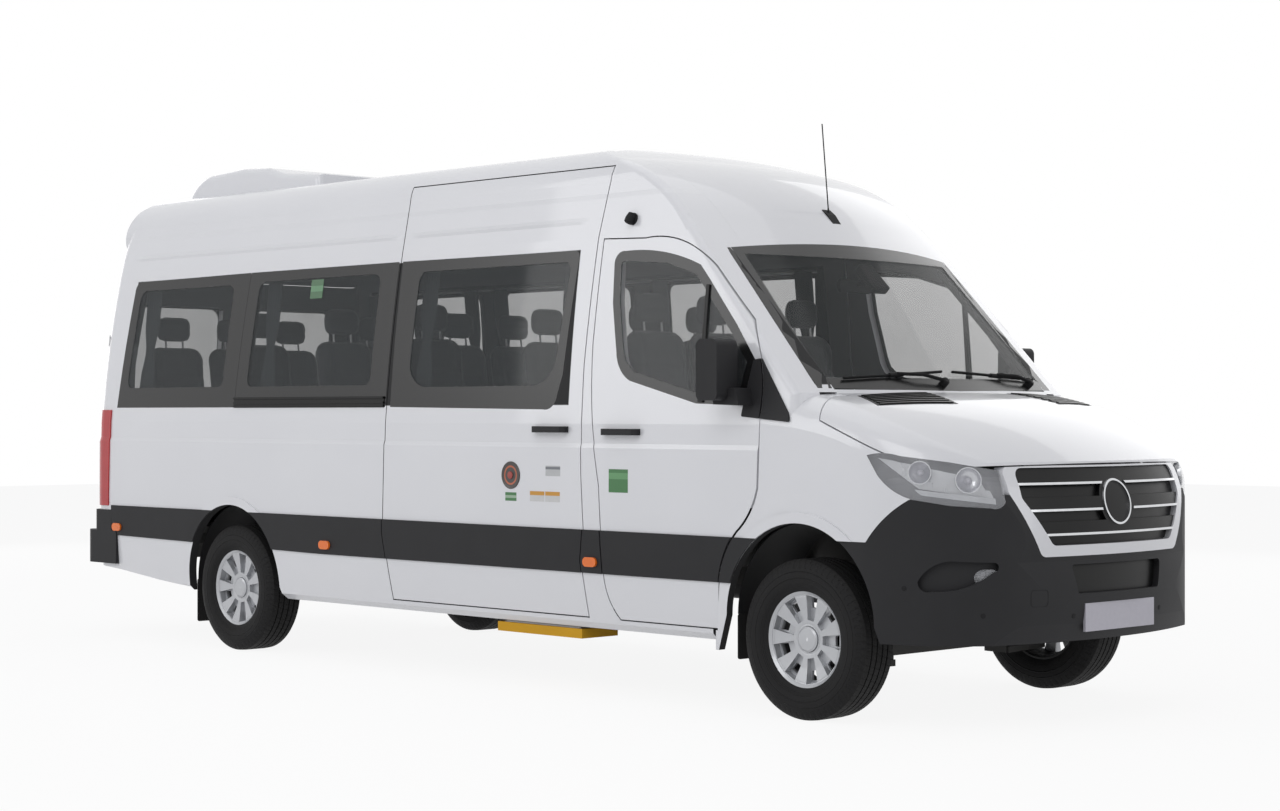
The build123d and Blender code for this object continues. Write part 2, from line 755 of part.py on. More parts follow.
with BuildPart() as front_frame:
    add(nose_shell.part)
    extrude(frame_outer, amount=500, mode=Mode.INTERSECT, clean=False)
    extrude(frame_inner, amount=500, mode=Mode.SUBTRACT, clean=False)
    add(lamps.part, mode=Mode.SUBTRACT, clean=False)
    extrude(bonnet_gap_cut, amount=reach, both=True, mode=Mode.SUBTRACT, clean=False)
save(front_frame.part, "grille_surround")

plate_x, plate_z = nose_x - 24, 472.0
with BuildPart() as plate:
    with Locations((plate_x + 6, 0, plate_z)):
        Box(12, 520, 122)
save(plate.part, "number_plate")

with BuildPart() as fog_recess:
    for side in (-1, 1):
        extrude(on_corner(side, fog_points), amount=500, both=True)
    add(nose_proud, mode=Mode.INTERSECT, clean=False)
    add(nose_recess, mode=Mode.SUBTRACT, clean=False)
    split(bisect_by=Plane.YZ.offset(2600), keep=Keep.TOP)

with BuildPart() as bumper:
    add(nose_shell.part)
    extrude(bumper_cut, amount=reach, both=True, mode=Mode.INTERSECT, clean=False)
    extrude(front_arch, amount=reach, both=True, mode=Mode.SUBTRACT, clean=False)
    extrude(frame_outer, amount=500, mode=Mode.SUBTRACT, clean=False)
    extrude(intake, amount=500, mode=Mode.SUBTRACT, clean=False)
    with Locations((0, 0, 0)):
        Box(3 * overall_length, 3 * reach, 2 * 371, mode=Mode.SUBTRACT)
    add(lamps.part, mode=Mode.SUBTRACT, clean=False)
    add(fog_recess.part, mode=Mode.SUBTRACT, clean=False)
    with Locations((plate_x + 50, 0, plate_z)):
        Box(100, 522, 124, mode=Mode.SUBTRACT)
save(bumper.part, "front_bumper")

with BuildPart() as fog_lamps:
    with BuildSketch(Plane.YZ.offset(2900)):
        with Locations((-728, 656), (728, 656)):
            Circle(37)
    extrude(amount=600)
    add(nose_form(8), mode=Mode.INTERSECT, clean=False)
    add(nose_recess, mode=Mode.SUBTRACT, clean=False)
    add(bumper.part, mode=Mode.SUBTRACT, clean=False)
save(fog_lamps.part, "fog_lamps")

with BuildPart() as grille:
    extrude(frame_inner, amount=500)
    add(nose_form(28), mode=Mode.INTERSECT, clean=False)
    add(nose_form(nose_wall), mode=Mode.SUBTRACT, clean=False)
# blades: middle height, depth of blade
BLADES = ((1082, 74), (962, 60), (858, 60))
emblem_z, emblem_r = 966.0, 100.0
with BuildPart() as louvres:
    with BuildSketch(Plane.YZ.offset(3100)):
        for z, height in BLADES:
            with Locations((0, z)):
                Rectangle(1300, height)
        with Locations((0, emblem_z)):
            Circle(emblem_r + 20)
    extrude(amount=500)
    extrude(frame_inner, amount=500, mode=Mode.INTERSECT)
    add(nose_form(8), mode=Mode.INTERSECT, clean=False)
    add(nose_form(28), mode=Mode.SUBTRACT, clean=False)
with BuildPart() as brightwork:
    with BuildSketch(Plane.YZ.offset(3100)):
        for z, height in BLADES:
            with Locations((0, z - height / 2 + 5)):
                Rectangle(1300, 10)
        with Locations((0, emblem_z)):
            Circle(emblem_r + 20, mode=Mode.SUBTRACT)
            Circle(emblem_r)
            Circle(emblem_r - 9, mode=Mode.SUBTRACT)
    extrude(amount=500)
    extrude(frame_inner, amount=500, mode=Mode.INTERSECT)
    add(nose_form(0), mode=Mode.INTERSECT, clean=False)
    add(nose_form(8), mode=Mode.SUBTRACT, clean=False)
save(brightwork.part, "grille_brightwork")
with BuildPart() as intake_mesh:
    extrude(intake, amount=500)
    add(nose_form(28), mode=Mode.INTERSECT, clean=False)
    add(nose_form(nose_wall), mode=Mode.SUBTRACT, clean=False)
with BuildPart() as grille_all:
    add(grille.part)
    add(louvres.part)
    add(intake_mesh.part)
    extrude(bonnet_gap_cut, amount=reach, both=True, mode=Mode.SUBTRACT, clean=False)
save(grille_all.part, "grille")

# ---------------------------------------------------------------- cladding, lamps and bumper on the body
with BuildPart() as side_trim:
    for side in (-1, 1):
        extrude(belt, amount=-side * reach)
    extrude(offset(door_outline, amount=front_gap, kind=Kind.INTERSECTION), amount=reach, both=True,
        mode=Mode.SUBTRACT)
    extrude(slide_opening, amount=reach, mode=Mode.SUBTRACT)
    extrude(rear_arch, amount=reach, both=True, mode=Mode.SUBTRACT)
    with Locations((2000 + 1600, 0, 0)):
        Box(4000, 4000, 4000, mode=Mode.SUBTRACT)
    add(lower_proud, mode=Mode.INTERSECT, clean=False)
    add(lower_skin, mode=Mode.SUBTRACT, clean=False)
with BuildPart() as wing_trim:
    extrude(belt, amount=reach, both=True)
    with Locations((2000 - 200, 0, 0)):
        Box(400, 4000, 4000, mode=Mode.SUBTRACT)
    extrude(front_arch, amount=reach, both=True, mode=Mode.SUBTRACT)
    extrude(mirror_plate, amount=reach, both=True)
    extrude(offset(door_outline, amount=front_gap, kind=Kind.INTERSECTION), amount=reach, both=True,
        mode=Mode.SUBTRACT)
    with Locations((0, 0, 1000)):
        Box(4000, 4000, 4000, mode=Mode.SUBTRACT)
    add(nose_proud, mode=Mode.INTERSECT, clean=False)
    add(nose_skin, mode=Mode.SUBTRACT, clean=False)
    add(lower_skin, mode=Mode.SUBTRACT, clean=False)
with BuildPart() as pillar_plate:
    extrude(mirror_plate, amount=reach, both=True)
    extrude(offset(door_outline, amount=front_gap, kind=Kind.INTERSECTION), amount=reach, both=True,
        mode=Mode.SUBTRACT)
    with Locations((0, 0, 1000)):
        Box(4000, 4000, 4000, mode=Mode.SUBTRACT)
    add(lower_proud, mode=Mode.INTERSECT, clean=False)
    add(lower_skin, mode=Mode.SUBTRACT, clean=False)
    add(nose_skin, mode=Mode.SUBTRACT, clean=False)
with BuildPart() as cladding:
    add(side_trim.part)
    add(pillar_plate.part)
    add(wing_trim.part)
save(cladding.part, "side_cladding")

# painted flares round the arches, above the plastic
with BuildPart() as rear_flares:
    extrude(rear_ring, amount=reach, both=True)
    extrude(rear_arch, amount=reach, both=True, mode=Mode.SUBTRACT)
    add(lower_proud, mode=Mode.INTERSECT, clean=False)
    add(lower_skin, mode=Mode.SUBTRACT, clean=False)
    split(bisect_by=Plane.XY.offset(belt_high_z), keep=Keep.TOP)
with BuildPart() as front_flares:
    extrude(front_ring, amount=reach, both=True)
    extrude(front_arch, amount=reach, both=True, mode=Mode.SUBTRACT)
    extrude(offset(door_outline, amount=front_gap, kind=Kind.INTERSECTION), amount=reach, both=True,
        mode=Mode.SUBTRACT)
    extrude(bumper_cut, amount=reach, both=True, mode=Mode.SUBTRACT)
    add(nose_proud, mode=Mode.INTERSECT, clean=False)
    add(nose_skin, mode=Mode.SUBTRACT, clean=False)
    add(lower_skin, mode=Mode.SUBTRACT, clean=False)
    split(bisect_by=Plane.XY.offset(belt_high_z), keep=Keep.TOP)
with BuildPart() as flares:
    add(rear_flares.part)
    add(front_flares.part)
save(flares.part, "arch_flares")

marker_at = ((1161, 640), (-945, 637), (-3030, 663))
with BuildPart() as markers:
    with BuildSketch(Plane.XZ):
        with Locations(marker_at):
            SlotOverall(92, 46)
    extrude(amount=half_width + 14, both=True)
    with Locations((0, 0, 600)):
        Box(9000, 2 * (half_width - 40), 600, mode=Mode.SUBTRACT)
    add(lower_skin, mode=Mode.SUBTRACT, clean=False)
    add(cladding.part, mode=Mode.SUBTRACT, clean=False)
save(markers.part, "side_markers")

with BuildPart() as rear_bumper:
    with BuildSketch(Plane.XY.offset(440)):
        with BuildLine():
            Polyline((-3040, 1016), (-3300, 1016))
            ThreePointArc((-3300, 1016), (-3372, 990), (-3398, 930))
            Polyline((-3398, 930), (-3410, 640), (tail_x, 600), (tail_x, 0), (-3040, 0), (-3040, 1016))
        make_face()
        mirror(about=Plane.XZ)
    extrude(amount=200)
    with BuildSketch(Plane.XY.offset(640)):
        with BuildLine():
            Polyline((-3095, 1016), (-3250, 1016))
            ThreePointArc((-3250, 1016), (-3295, 990), (-3308, 940))
            Polyline((-3308, 940), (-3308, 900), (-3095, 900), (-3095, 1016))
        make_face()
        mirror(about=Plane.XZ)
    extrude(amount=125)
    add(lower_skin, mode=Mode.SUBTRACT, clean=False)
    add(side_trim.part, mode=Mode.SUBTRACT, clean=False)
    split(bisect_by=Plane.YZ.offset(-3039), keep=Keep.BOTTOM)
save(rear_bumper.part, "rear_bumper")

# ---------------------------------------------------------------- roof
cooler_half = 600.0
with BuildPart() as cooler:
    extrude(trace(Plane.XZ, (-2900, 2560), (-2885, 2665), ((-2800, 2745), (-2660, 2793)), (-2341, 2808),
        (-2090, 2795),
                  (-1930, 2755), (-1560, 2722), (-1540, 2560)),
            amount=cooler_half, both=True)
    fillet(cooler.edges().filter_by(lambda e: e.center().Z > 2640 and abs(e.center().Y) > 590), 38)
    add(outer_box, mode=Mode.SUBTRACT, clean=False)
save(cooler.part, "roof_cooler")

aerial_foot, aerial_tip = Vector(1784, 0, 2300), Vector(1739, 0, 2768)
with BuildPart() as aerial:
    with BuildSketch(Plane(origin=aerial_foot, z_dir=aerial_tip - aerial_foot)) as root:
        Circle(11)
    with BuildSketch(Plane(origin=aerial_foot + (aerial_tip - aerial_foot) * 0.12,
        z_dir=aerial_tip - aerial_foot)):
        Circle(3)
    loft()
    with BuildSketch(Plane(origin=aerial_foot + (aerial_tip - aerial_foot) * 0.12,
        z_dir=aerial_tip - aerial_foot)):
        Circle(3)
    extrude(amount=(aerial_tip - aerial_foot).length * 0.88)
    with BuildSketch(Plane.XZ.offset(-30)):
        with BuildLine():
            Polyline((1745, 2270), (1765, 2345), (1800, 2318), (1860, 2240), (1745, 2270))
        make_face()
    extrude(amount=60)
    add(outer_box, mode=Mode.SUBTRACT, clean=False)
save(aerial.part, "aerial")

# ---------------------------------------------------------------- floor, bulkhead and frame
floor_top = 694.0
floor_t = 40.0
rail_y, rail_w, rail_h = 465.0, 80.0, 120.0
rail_top = floor_top - floor_t
bulkhead_x = 2240.0
inner_lower = lower_form(inner_box, wall)

with BuildPart() as floor_pan:
    with BuildSketch(Plane.XY.offset(floor_top - floor_t)):
        with BuildLine():
            Polyline((-3300, -1000), (2060, -1000), (2060, 1000), (-3300, 1000), (-3300, -1000))
        make_face()
    extrude(amount=floor_t)
    extrude(trace(Plane.XZ, (2060, floor_top - floor_t), (2060, floor_top), (bulkhead_x - 10, 900),
                  (bulkhead_x - 10, 1400), (bulkhead_x, 1400), (bulkhead_x, 880),
                  (2066, floor_top - floor_t)),
            amount=1000, both=True)
    # clear of the opening doors
    for side in (-1, 1):
        with Locations((1700, side * (930 + 100), 1000)):
            Box(1130, 200, 1000, mode=Mode.SUBTRACT)
    extrude(arch(rear_axle_x + 4, 384, 446, 503, 446, 8), amount=reach, both=True, mode=Mode.SUBTRACT)
    with Locations((rear_axle_x, 0, floor_top - floor_t / 2)):
        Box(960, 2 * 610, floor_t)
    for side in (-1, 1):
        extrude(arch(front_axle_x, 441, 428, 492, 476, 14), amount=-side * reach, mode=Mode.SUBTRACT)
    add(inner_lower, mode=Mode.INTERSECT, clean=False)
with BuildPart() as rear_sill:
    add(lower_shell.part)
    with Locations((rear_face_x, 0, 440 + 254 / 2)):
        Box(200, 2 * rear_opening_half, 254, mode=Mode.INTERSECT)
with BuildPart() as floor_all:
    add(floor_pan.part)
    add(rear_sill.part)
save(floor_all.part, "floor_pan")

# ---------------------------------------------------------------- frame and running gear
rail_front_x = 3340.0
tow_eye_y, tow_eye_r = -300.0, 10.0
with BuildPart() as frame_rails:
    for side in (-1, 1):
        # kicked up over both axles by running under the floor all along
        with Locations(((rail_front_x - 3180) / 2, side * rail_y, rail_top - rail_h / 2)):
            Box(rail_front_x + 3180, rail_w, rail_h)
            Box(rail_front_x + 3180, rail_w - 10, rail_h - 10, mode=Mode.SUBTRACT)
    for x in (-3130, -2400, -1200, -300, 700, 1700):
        with Locations((x, 0, rail_top - rail_h / 2)):
            Box(70, 2 * rail_y - rail_w, 70)
    # outriggers carry the sills
    for x in (-2700, -1100, -100, 900, 1500):
        for side in (-1, 1):
            with BuildSketch(Plane.YZ.offset(x - 25)):
                with BuildLine():
                    Polyline(
                        (side * (rail_y + rail_w / 2), rail_top), (side * 925, rail_top),
                        (side * 925, rail_top - 60),
                        (side * (rail_y + rail_w / 2), rail_top - 100),
                        (side * (rail_y + rail_w / 2), rail_top),
                    )
                make_face()
            extrude(amount=50)
    # front crash beam behind the bumper
    with Locations((rail_front_x + 20, 0, rail_top - rail_h / 2)):
        Box(40, 900, 96)
    with BuildSketch(Plane.YZ.offset(rail_front_x)):
        with Locations((tow_eye_y, rail_top - rail_h / 2)):
            Circle(tow_eye_r + 12)
    extrude(amount=80)
    with BuildSketch(Plane.YZ.offset(rail_front_x)):
        with Locations((tow_eye_y, rail_top - rail_h / 2)):
            Circle(tow_eye_r)
    extrude(amount=80, mode=Mode.SUBTRACT)
    with Locations((3180, 0, rail_top - rail_h - 30)):
        Box(60, 1000, 60)
save(frame_rails.part, "frame_rails")

tyre_r, tyre_w, rim_r = 356.0, 235.0, 203.2
track_y = 868.0
hub_r = 55.0
spindle_r = 30.0
cover_spokes = 9
bore_r = 32.0
hub_face = track_y - 70.0  # where the wheel hub meets the knuckle's flange, from the middle
axle_z = tyre_r
WHEELS = (("front_right", front_axle_x, -1), ("front_left", front_axle_x, 1),
          ("rear_right", rear_axle_x, -1), ("rear_left", rear_axle_x, 1))


def turned_about_axle(x, side, points, mode=Mode.ADD):
    """Revolve a (y out from the wheel's middle, radius) outline about the wheel's axle."""
    with BuildSketch(Plane.YZ.offset(x)) as profile:
        with BuildLine():
            here = points[0]
            for step in points[1:]:
                if isinstance(step[0], tuple):
                    ThreePointArc(*[(side * (track_y + p[0]), axle_z + p[1]) for p in (here, step[0],
                        step[1])])
                    here = step[1]
                else:
                    Line(*[(side * (track_y + p[0]), axle_z + p[1]) for p in (here, step)])
                    here = step
        make_face()
    revolve(profile.sketch, axis=Axis((x, 0, axle_z), (0, 1, 0)), mode=mode)


for name, x, side in WHEELS:
    half = tyre_w / 2
    with BuildPart() as tyre:
        turned_about_axle(x, side, [
            (-77.5, rim_r + 0.3), (-85.5, rim_r + 9.4), (-93, rim_r + 10),
            ((-half, rim_r + 75), (-98, tyre_r - 12)), (-88, tyre_r - 2),
            (-60, tyre_r), (60, tyre_r), (88, tyre_r - 2), (98, tyre_r - 12), 
            ((half, rim_r + 75), (93, rim_r + 10)), (85.5, rim_r + 9.4), (77.5, rim_r + 0.3),
            (-77.5, rim_r + 0.3),
        ])
        for groove in (-52, -18, 18, 52):
            turned_about_axle(x, side, [
                (groove - 4, tyre_r + 5), (groove - 4, tyre_r - 8), (groove + 4, tyre_r - 8),
                (groove + 4, tyre_r + 5),
                (groove - 4, tyre_r + 5),
            ], mode=Mode.SUBTRACT)
    save(tyre.part, f"tyre_{name}")
    with BuildPart() as wheel:
        # rim barrel, dished centre and hub
        turned_about_axle(x, side, [
            (-92, rim_r + 9), (-92, rim_r), (-74, rim_r - 2), (-74, rim_r - 8), (28, rim_r - 22),
            (28, hub_r),
            (-55, hub_r), (-55, hub_r + 25), (-70, hub_r + 25), (-70, bore_r), (40, bore_r),
            (40, rim_r - 22),
            (70, rim_r - 8), (82, rim_r - 4), (92, rim_r + 9), (86, rim_r + 9), (78, rim_r),
            (-78, rim_r), (-86, rim_r + 9),
            (-92, rim_r + 9),
        ])
        # raised spokes of the cover, the openings between them and the plain cap
        turned_about_axle(x, side, [(39, 58), (64, 58), (69, 130), (80, 198.6), (70, 198), (40, 184),
            (39, 58)])
        for depth, middle_r, outer_w, length, flare in ((42, 139, 68, 110, 98), (-10, 160, 64, 44, 104)):
            face = Plane(origin=(x, side * (track_y + depth), axle_z), x_dir=(1, 0, 0), z_dir=(0, side, 0))
            with BuildSketch(face):
                with PolarLocations(middle_r, cover_spokes):
                    Trapezoid(outer_w, length, flare, rotation=-90)
            extrude(amount=100, mode=Mode.SUBTRACT)
        turned_about_axle(x, side, [(20, 0), (20, 56), (70, 56), (75, 48), (77, 0), (20, 0)])
    save(wheel.part, f"wheel_{name}")

# ---------------------------------------------------------------- steering knuckles and front suspension
kingpin_y = 768.0
lower_joint_z, upper_joint_z = 236.0, 476.0
for name, side in SIDES:
    with BuildPart() as knuckle:
        with Locations((front_axle_x, side * kingpin_y, (lower_joint_z + upper_joint_z) / 2)):
            Cylinder(22, upper_joint_z - lower_joint_z)
        # flange and spindle
        turned_about_axle(front_axle_x, side, [
            (-104, 0), (-104, 48), (hub_face - track_y, 48), (hub_face - track_y, spindle_r),
            (14, spindle_r), (14, 0),
            (-104, 0),
        ])
        # steering arm to the rear
        with BuildSketch(Plane.XY.offset(axle_z - 60)):
            with BuildLine():
                Polyline(
                    (front_axle_x, side * (kingpin_y - 24)), (front_axle_x, side * (kingpin_y + 10)),
                    (front_axle_x - 128, side * (kingpin_y - 34)),
                    (front_axle_x - 132, side * (kingpin_y - 58)),
                    (front_axle_x, side * (kingpin_y - 24)),
                )
            make_face()
        extrude(amount=24)
    save(knuckle.part, f"knuckle_{name}")

with BuildPart() as front_suspension:
    with Locations((front_axle_x, 0, 300)):
        Box(150, 2 * (rail_y - 20), 90)
    for side in (-1, 1):
        # turrets up to the rails
        with Locations((front_axle_x, side * (rail_y - 15), 345 + (rail_top - rail_h - 345) / 2)):
            Box(90, 50, rail_top - rail_h - 345)
        # lower and upper arms, wide at the frame and narrow at the ball joints
        for z0, z1, root_z in ((lower_joint_z - 30, lower_joint_z, 256),
            (upper_joint_z, upper_joint_z + 24, 470)):
            with BuildSketch(Plane.XY.offset(z0)):
                with BuildLine():
                    Polyline(
                        (front_axle_x - 75, side * (rail_y - 40)),
                        (front_axle_x + 75, side * (rail_y - 40)),
                        (front_axle_x + 24, side * (kingpin_y - 10)),
                        (front_axle_x - 24, side * (kingpin_y - 10)),
                        (front_axle_x - 75, side * (rail_y - 40)),
                    )
                make_face()
                with Locations((front_axle_x, side * kingpin_y)):
                    Circle(26)
            extrude(amount=z1 - z0)
        with Locations((front_axle_x, side * (rail_y - 15), (lower_joint_z - 30 + 255) / 2)):
            Box(120, 60, 255 - lower_joint_z + 30)
save(front_suspension.part, "front_suspension")

# ---------------------------------------------------------------- rear axle, springs and propeller shaft
axle_tube_r = 42.0
spring_seat = 10.0
with BuildPart() as rear_axle:
    with BuildSketch(Plane.XZ):
        with Locations((rear_axle_x, axle_z)):
            Circle(axle_tube_r)
    extrude(amount=track_y - 100, both=True)
    with Locations((rear_axle_x, 0, axle_z)):
        Sphere(135)
    with BuildSketch(Plane.YZ.offset(rear_axle_x)):
        with Locations((0, axle_z + 10)):
            Circle(34)
    extrude(amount=2350)
    for side in (-1, 1):
        turned_about_axle(rear_axle_x, side, [
            (-104, 0), (-104, 48), (hub_face - track_y, 48), (hub_face - track_y, spindle_r),
            (14, spindle_r), (14, 0),
            (-104, 0),
        ])
        with BuildSketch(Plane.XZ.offset(-side * (rail_y - 30))):
            with BuildLine():
                ThreePointArc((rear_axle_x - 740, rail_top - rail_h),
                    (rear_axle_x, axle_z + axle_tube_r - spring_seat),
                              (rear_axle_x + 740, rail_top - rail_h))
                Line((rear_axle_x + 740, rail_top - rail_h), (rear_axle_x + 700, rail_top - rail_h))
                ThreePointArc((rear_axle_x + 700, rail_top - rail_h),
                    (rear_axle_x, axle_z + axle_tube_r - spring_seat + 34),
                              (rear_axle_x - 700, rail_top - rail_h))
                Line((rear_axle_x - 700, rail_top - rail_h), (rear_axle_x - 740, rail_top - rail_h))
            make_face()
        extrude(amount=-side * 60)
save(rear_axle.part, "rear_axle")

# ---------------------------------------------------------------- engine, tank and exhaust
with BuildPart() as engine:
    with Locations((2680, 0, (345 + 1010) / 2 + 40)):
        Box(620, 600, 1010 - 345)
        fillet(engine.edges(), 25)
    with Locations((2200, 0, 470)):
        Box(340, 320, 300)
    # mounting arms to the rails
    with Locations((2680, 0, 570)):
        Box(90, 2 * rail_y - rail_w, 50)
save(engine.part, "engine_block")
with BuildPart() as tank:
    with Locations((400, 650, rail_top - 150)):
        Box(900, 270, 300)
    fillet(tank.edges(), 30)
save(tank.part, "fuel_tank")

# ---------------------------------------------------------------- entry step on the right
step_x0, step_x1 = 414.0, 1034.0
with BuildPart() as entry_step:
    with Locations(((step_x0 + step_x1) / 2, -830, 284)):
        Box(step_x1 - step_x0, 240, 46)
        Box(step_x1 - step_x0 - 40, 200, 30, mode=Mode.SUBTRACT)
    for x in (step_x0 + 60, step_x1 - 60):
        with Locations((x, -740, (307 + rail_top - 60) / 2)):
            Box(40, 30, rail_top - 60 - 307)
save(entry_step.part, "entry_step")

# ---------------------------------------------------------------- mud flaps
with BuildPart() as flaps:
    for side in (-1, 1):
        # hung from the liners' lower ends
        with BuildSketch(Plane.YZ.offset(front_axle_x - 428 - 7)):
            with Locations((side * 825, 441 - 103)):
                RectangleRounded(200, 206, 12)
        extrude(amount=8)
        with BuildSketch(Plane.YZ.offset(rear_axle_x + 4 - 446 - 7)):
            with Locations((side * 810, 384 - 125)):
                RectangleRounded(240, 250, 12)
        extrude(amount=8)
save(flaps.part, "mud_flaps")

# ---------------------------------------------------------------- cab
with BuildPart() as dash:
    extrude(trace(Plane.XZ, (1990, 985), (1950, 1140), ((1975, 1225), (2060, 1262)), (2225, 1300),
        (2225, 985)),
            amount=915, both=True)
save(dash.part, "dashboard")

wheel_at = Vector(1900, 440, 1240)
with BuildPart() as steering_wheel:
    tilt = Plane(origin=wheel_at, x_dir=(0, 1, 0), z_dir=(-0.5, 0, 0.866))
    with BuildSketch(Plane(origin=wheel_at, x_dir=(0, 1, 0), z_dir=(0.866, 0, 0.5))):
        with Locations((185, 0)):
            Circle(14)
    revolve(axis=Axis(wheel_at, (-0.5, 0, 0.866)))
    with BuildSketch(tilt):
        Circle(55)
        Rectangle(370, 34)
        with Locations((0, -90)):
            Rectangle(34, 180)
    extrude(amount=-18)
    with BuildSketch(tilt.offset(-18)):
        Circle(30)
    extrude(amount=-160)
    add(dash.part, mode=Mode.SUBTRACT)
save(steering_wheel.part, "steering_wheel")

# ---------------------------------------------------------------- seats
seat_w, seat_d, cushion_t = 430.0, 440.0, 110.0
cushion_top = floor_top + 440
back_h, back_t = 640.0, 95.0
cab_seats = ((1480, 440), (1480, -215), (1480, -650))
row_x = (560, -230, -1020, -1810)
row_y = (640, 205, -640)  # two on the left, one on the right
rear_bench = tuple((-2700, y) for y in (-653, -218, 218, 653))
seats = cab_seats + tuple((x, y) for x in row_x for y in row_y if not (x == row_x[0] and y < 0)) + rear_bench

with BuildPart() as seat_frames:
    with Locations(*[(x, y - copysign(max(0, abs(y) - 520), y),
        (floor_top + cushion_top - cushion_t) / 2 - 8) for x, y in seats]):
        Box(60, 160, cushion_top - cushion_t - floor_top - 16)
    with Locations(*[(x, y, cushion_top - cushion_t - 10) for x, y in seats]):
        Box(seat_d - 40, seat_w - 20, 20)
    with Locations(*[(x, y - copysign(max(0, abs(y) - 520), y), floor_top + 6) for x, y in seats]):
        Box(380, 160, 12)
save(seat_frames.part, "seat_frames")
with BuildPart() as cushions:
    with Locations(*[(x, y, cushion_top - cushion_t / 2) for x, y in seats]):
        Box(seat_d, seat_w, cushion_t)
save(cushions.part, "seat_cushions")
back_side = trace(
    Plane.XZ,
    (-seat_d / 2, 0),
    (-seat_d / 2 + back_t, 0),
    (-seat_d / 2 + back_t - 90, back_h),
    (-seat_d / 2 - 10, back_h),
    (-seat_d / 2 - 15, back_h + 170),
    (-seat_d / 2 - 85, back_h + 170),
    (-seat_d / 2 - 75, back_h),
)
with BuildPart() as one_back:
    extrude(back_side, amount=(seat_w - 10) / 2, both=True)
    with Locations((-seat_d / 2 - 50, 0, back_h + 100)):
        for y in (-1, 1):
            with Locations((0, y * (130 + 60), 0)):
                Box(120, 120, 199, mode=Mode.SUBTRACT)
with BuildPart() as backs:
    with Locations(*[(x, y, cushion_top) for x, y in seats]):
        add(one_back.part)
save(backs.part, "seat_backs")

# ---------------------------------------------------------------- wheel arch liners and rear wheel boxes
liner_t = 5.0
with BuildPart() as liners:
    for side in (-1, 1):
        for x, z, r, front, rear, inner_y in (
            (front_axle_x, 441, 428, 492, 476, 560),
            (rear_axle_x + 4, 384, 446, 503, 446, 615),
        ):
            with BuildSketch(Plane.XZ.offset(-side * inner_y)) as band:
                with Locations((x, z)):
                    Circle(r + liner_t)
                    Circle(r, mode=Mode.SUBTRACT)
                with Locations((x, z - 600)):
                    Rectangle(3 * r, 1200, mode=Mode.SUBTRACT)
            extrude(amount=-side * (925 - inner_y))
            if x < 0:
                # inner wall of the wheel box, above the floor
                with BuildSketch(Plane.XZ.offset(-side * (inner_y - liner_t))):
                    with Locations((x, z)):
                        Circle(r + liner_t)
                    with Locations((x, floor_top - 600)):
                        Rectangle(3 * r, 1200, mode=Mode.SUBTRACT)
                extrude(amount=-side * liner_t)
save(liners.part, "wheel_arch_liners")
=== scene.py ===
"""Finishes, fittings, cushions, light and camera for the high-roof minibus.

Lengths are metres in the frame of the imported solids: +X forward, +Y to the left, +Z up.
"""
import bpy
import bmesh
from math import cos, exp, pi, radians, sin
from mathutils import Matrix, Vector
from mathutils.bvhtree import BVHTree


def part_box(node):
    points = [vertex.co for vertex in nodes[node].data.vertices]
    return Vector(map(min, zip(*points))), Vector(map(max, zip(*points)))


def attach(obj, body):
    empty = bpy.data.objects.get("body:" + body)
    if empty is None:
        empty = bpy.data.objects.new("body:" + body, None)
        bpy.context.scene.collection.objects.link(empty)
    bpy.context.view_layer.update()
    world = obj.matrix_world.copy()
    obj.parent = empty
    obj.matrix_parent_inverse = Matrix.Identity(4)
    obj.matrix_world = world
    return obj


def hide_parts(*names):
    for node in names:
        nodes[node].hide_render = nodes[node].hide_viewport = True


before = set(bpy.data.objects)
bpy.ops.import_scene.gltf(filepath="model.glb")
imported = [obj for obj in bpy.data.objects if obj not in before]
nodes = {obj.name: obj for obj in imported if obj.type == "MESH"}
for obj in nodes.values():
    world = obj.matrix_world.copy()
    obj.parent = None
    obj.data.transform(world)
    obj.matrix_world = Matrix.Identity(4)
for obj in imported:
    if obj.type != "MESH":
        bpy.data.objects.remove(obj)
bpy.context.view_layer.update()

SIDES = (("right", -1), ("left", 1))
FAR_SIDE, FAR_FRONT, FAR_REAR = 2.0, 5.0, -5.0  # places outside the vehicle to look at it from


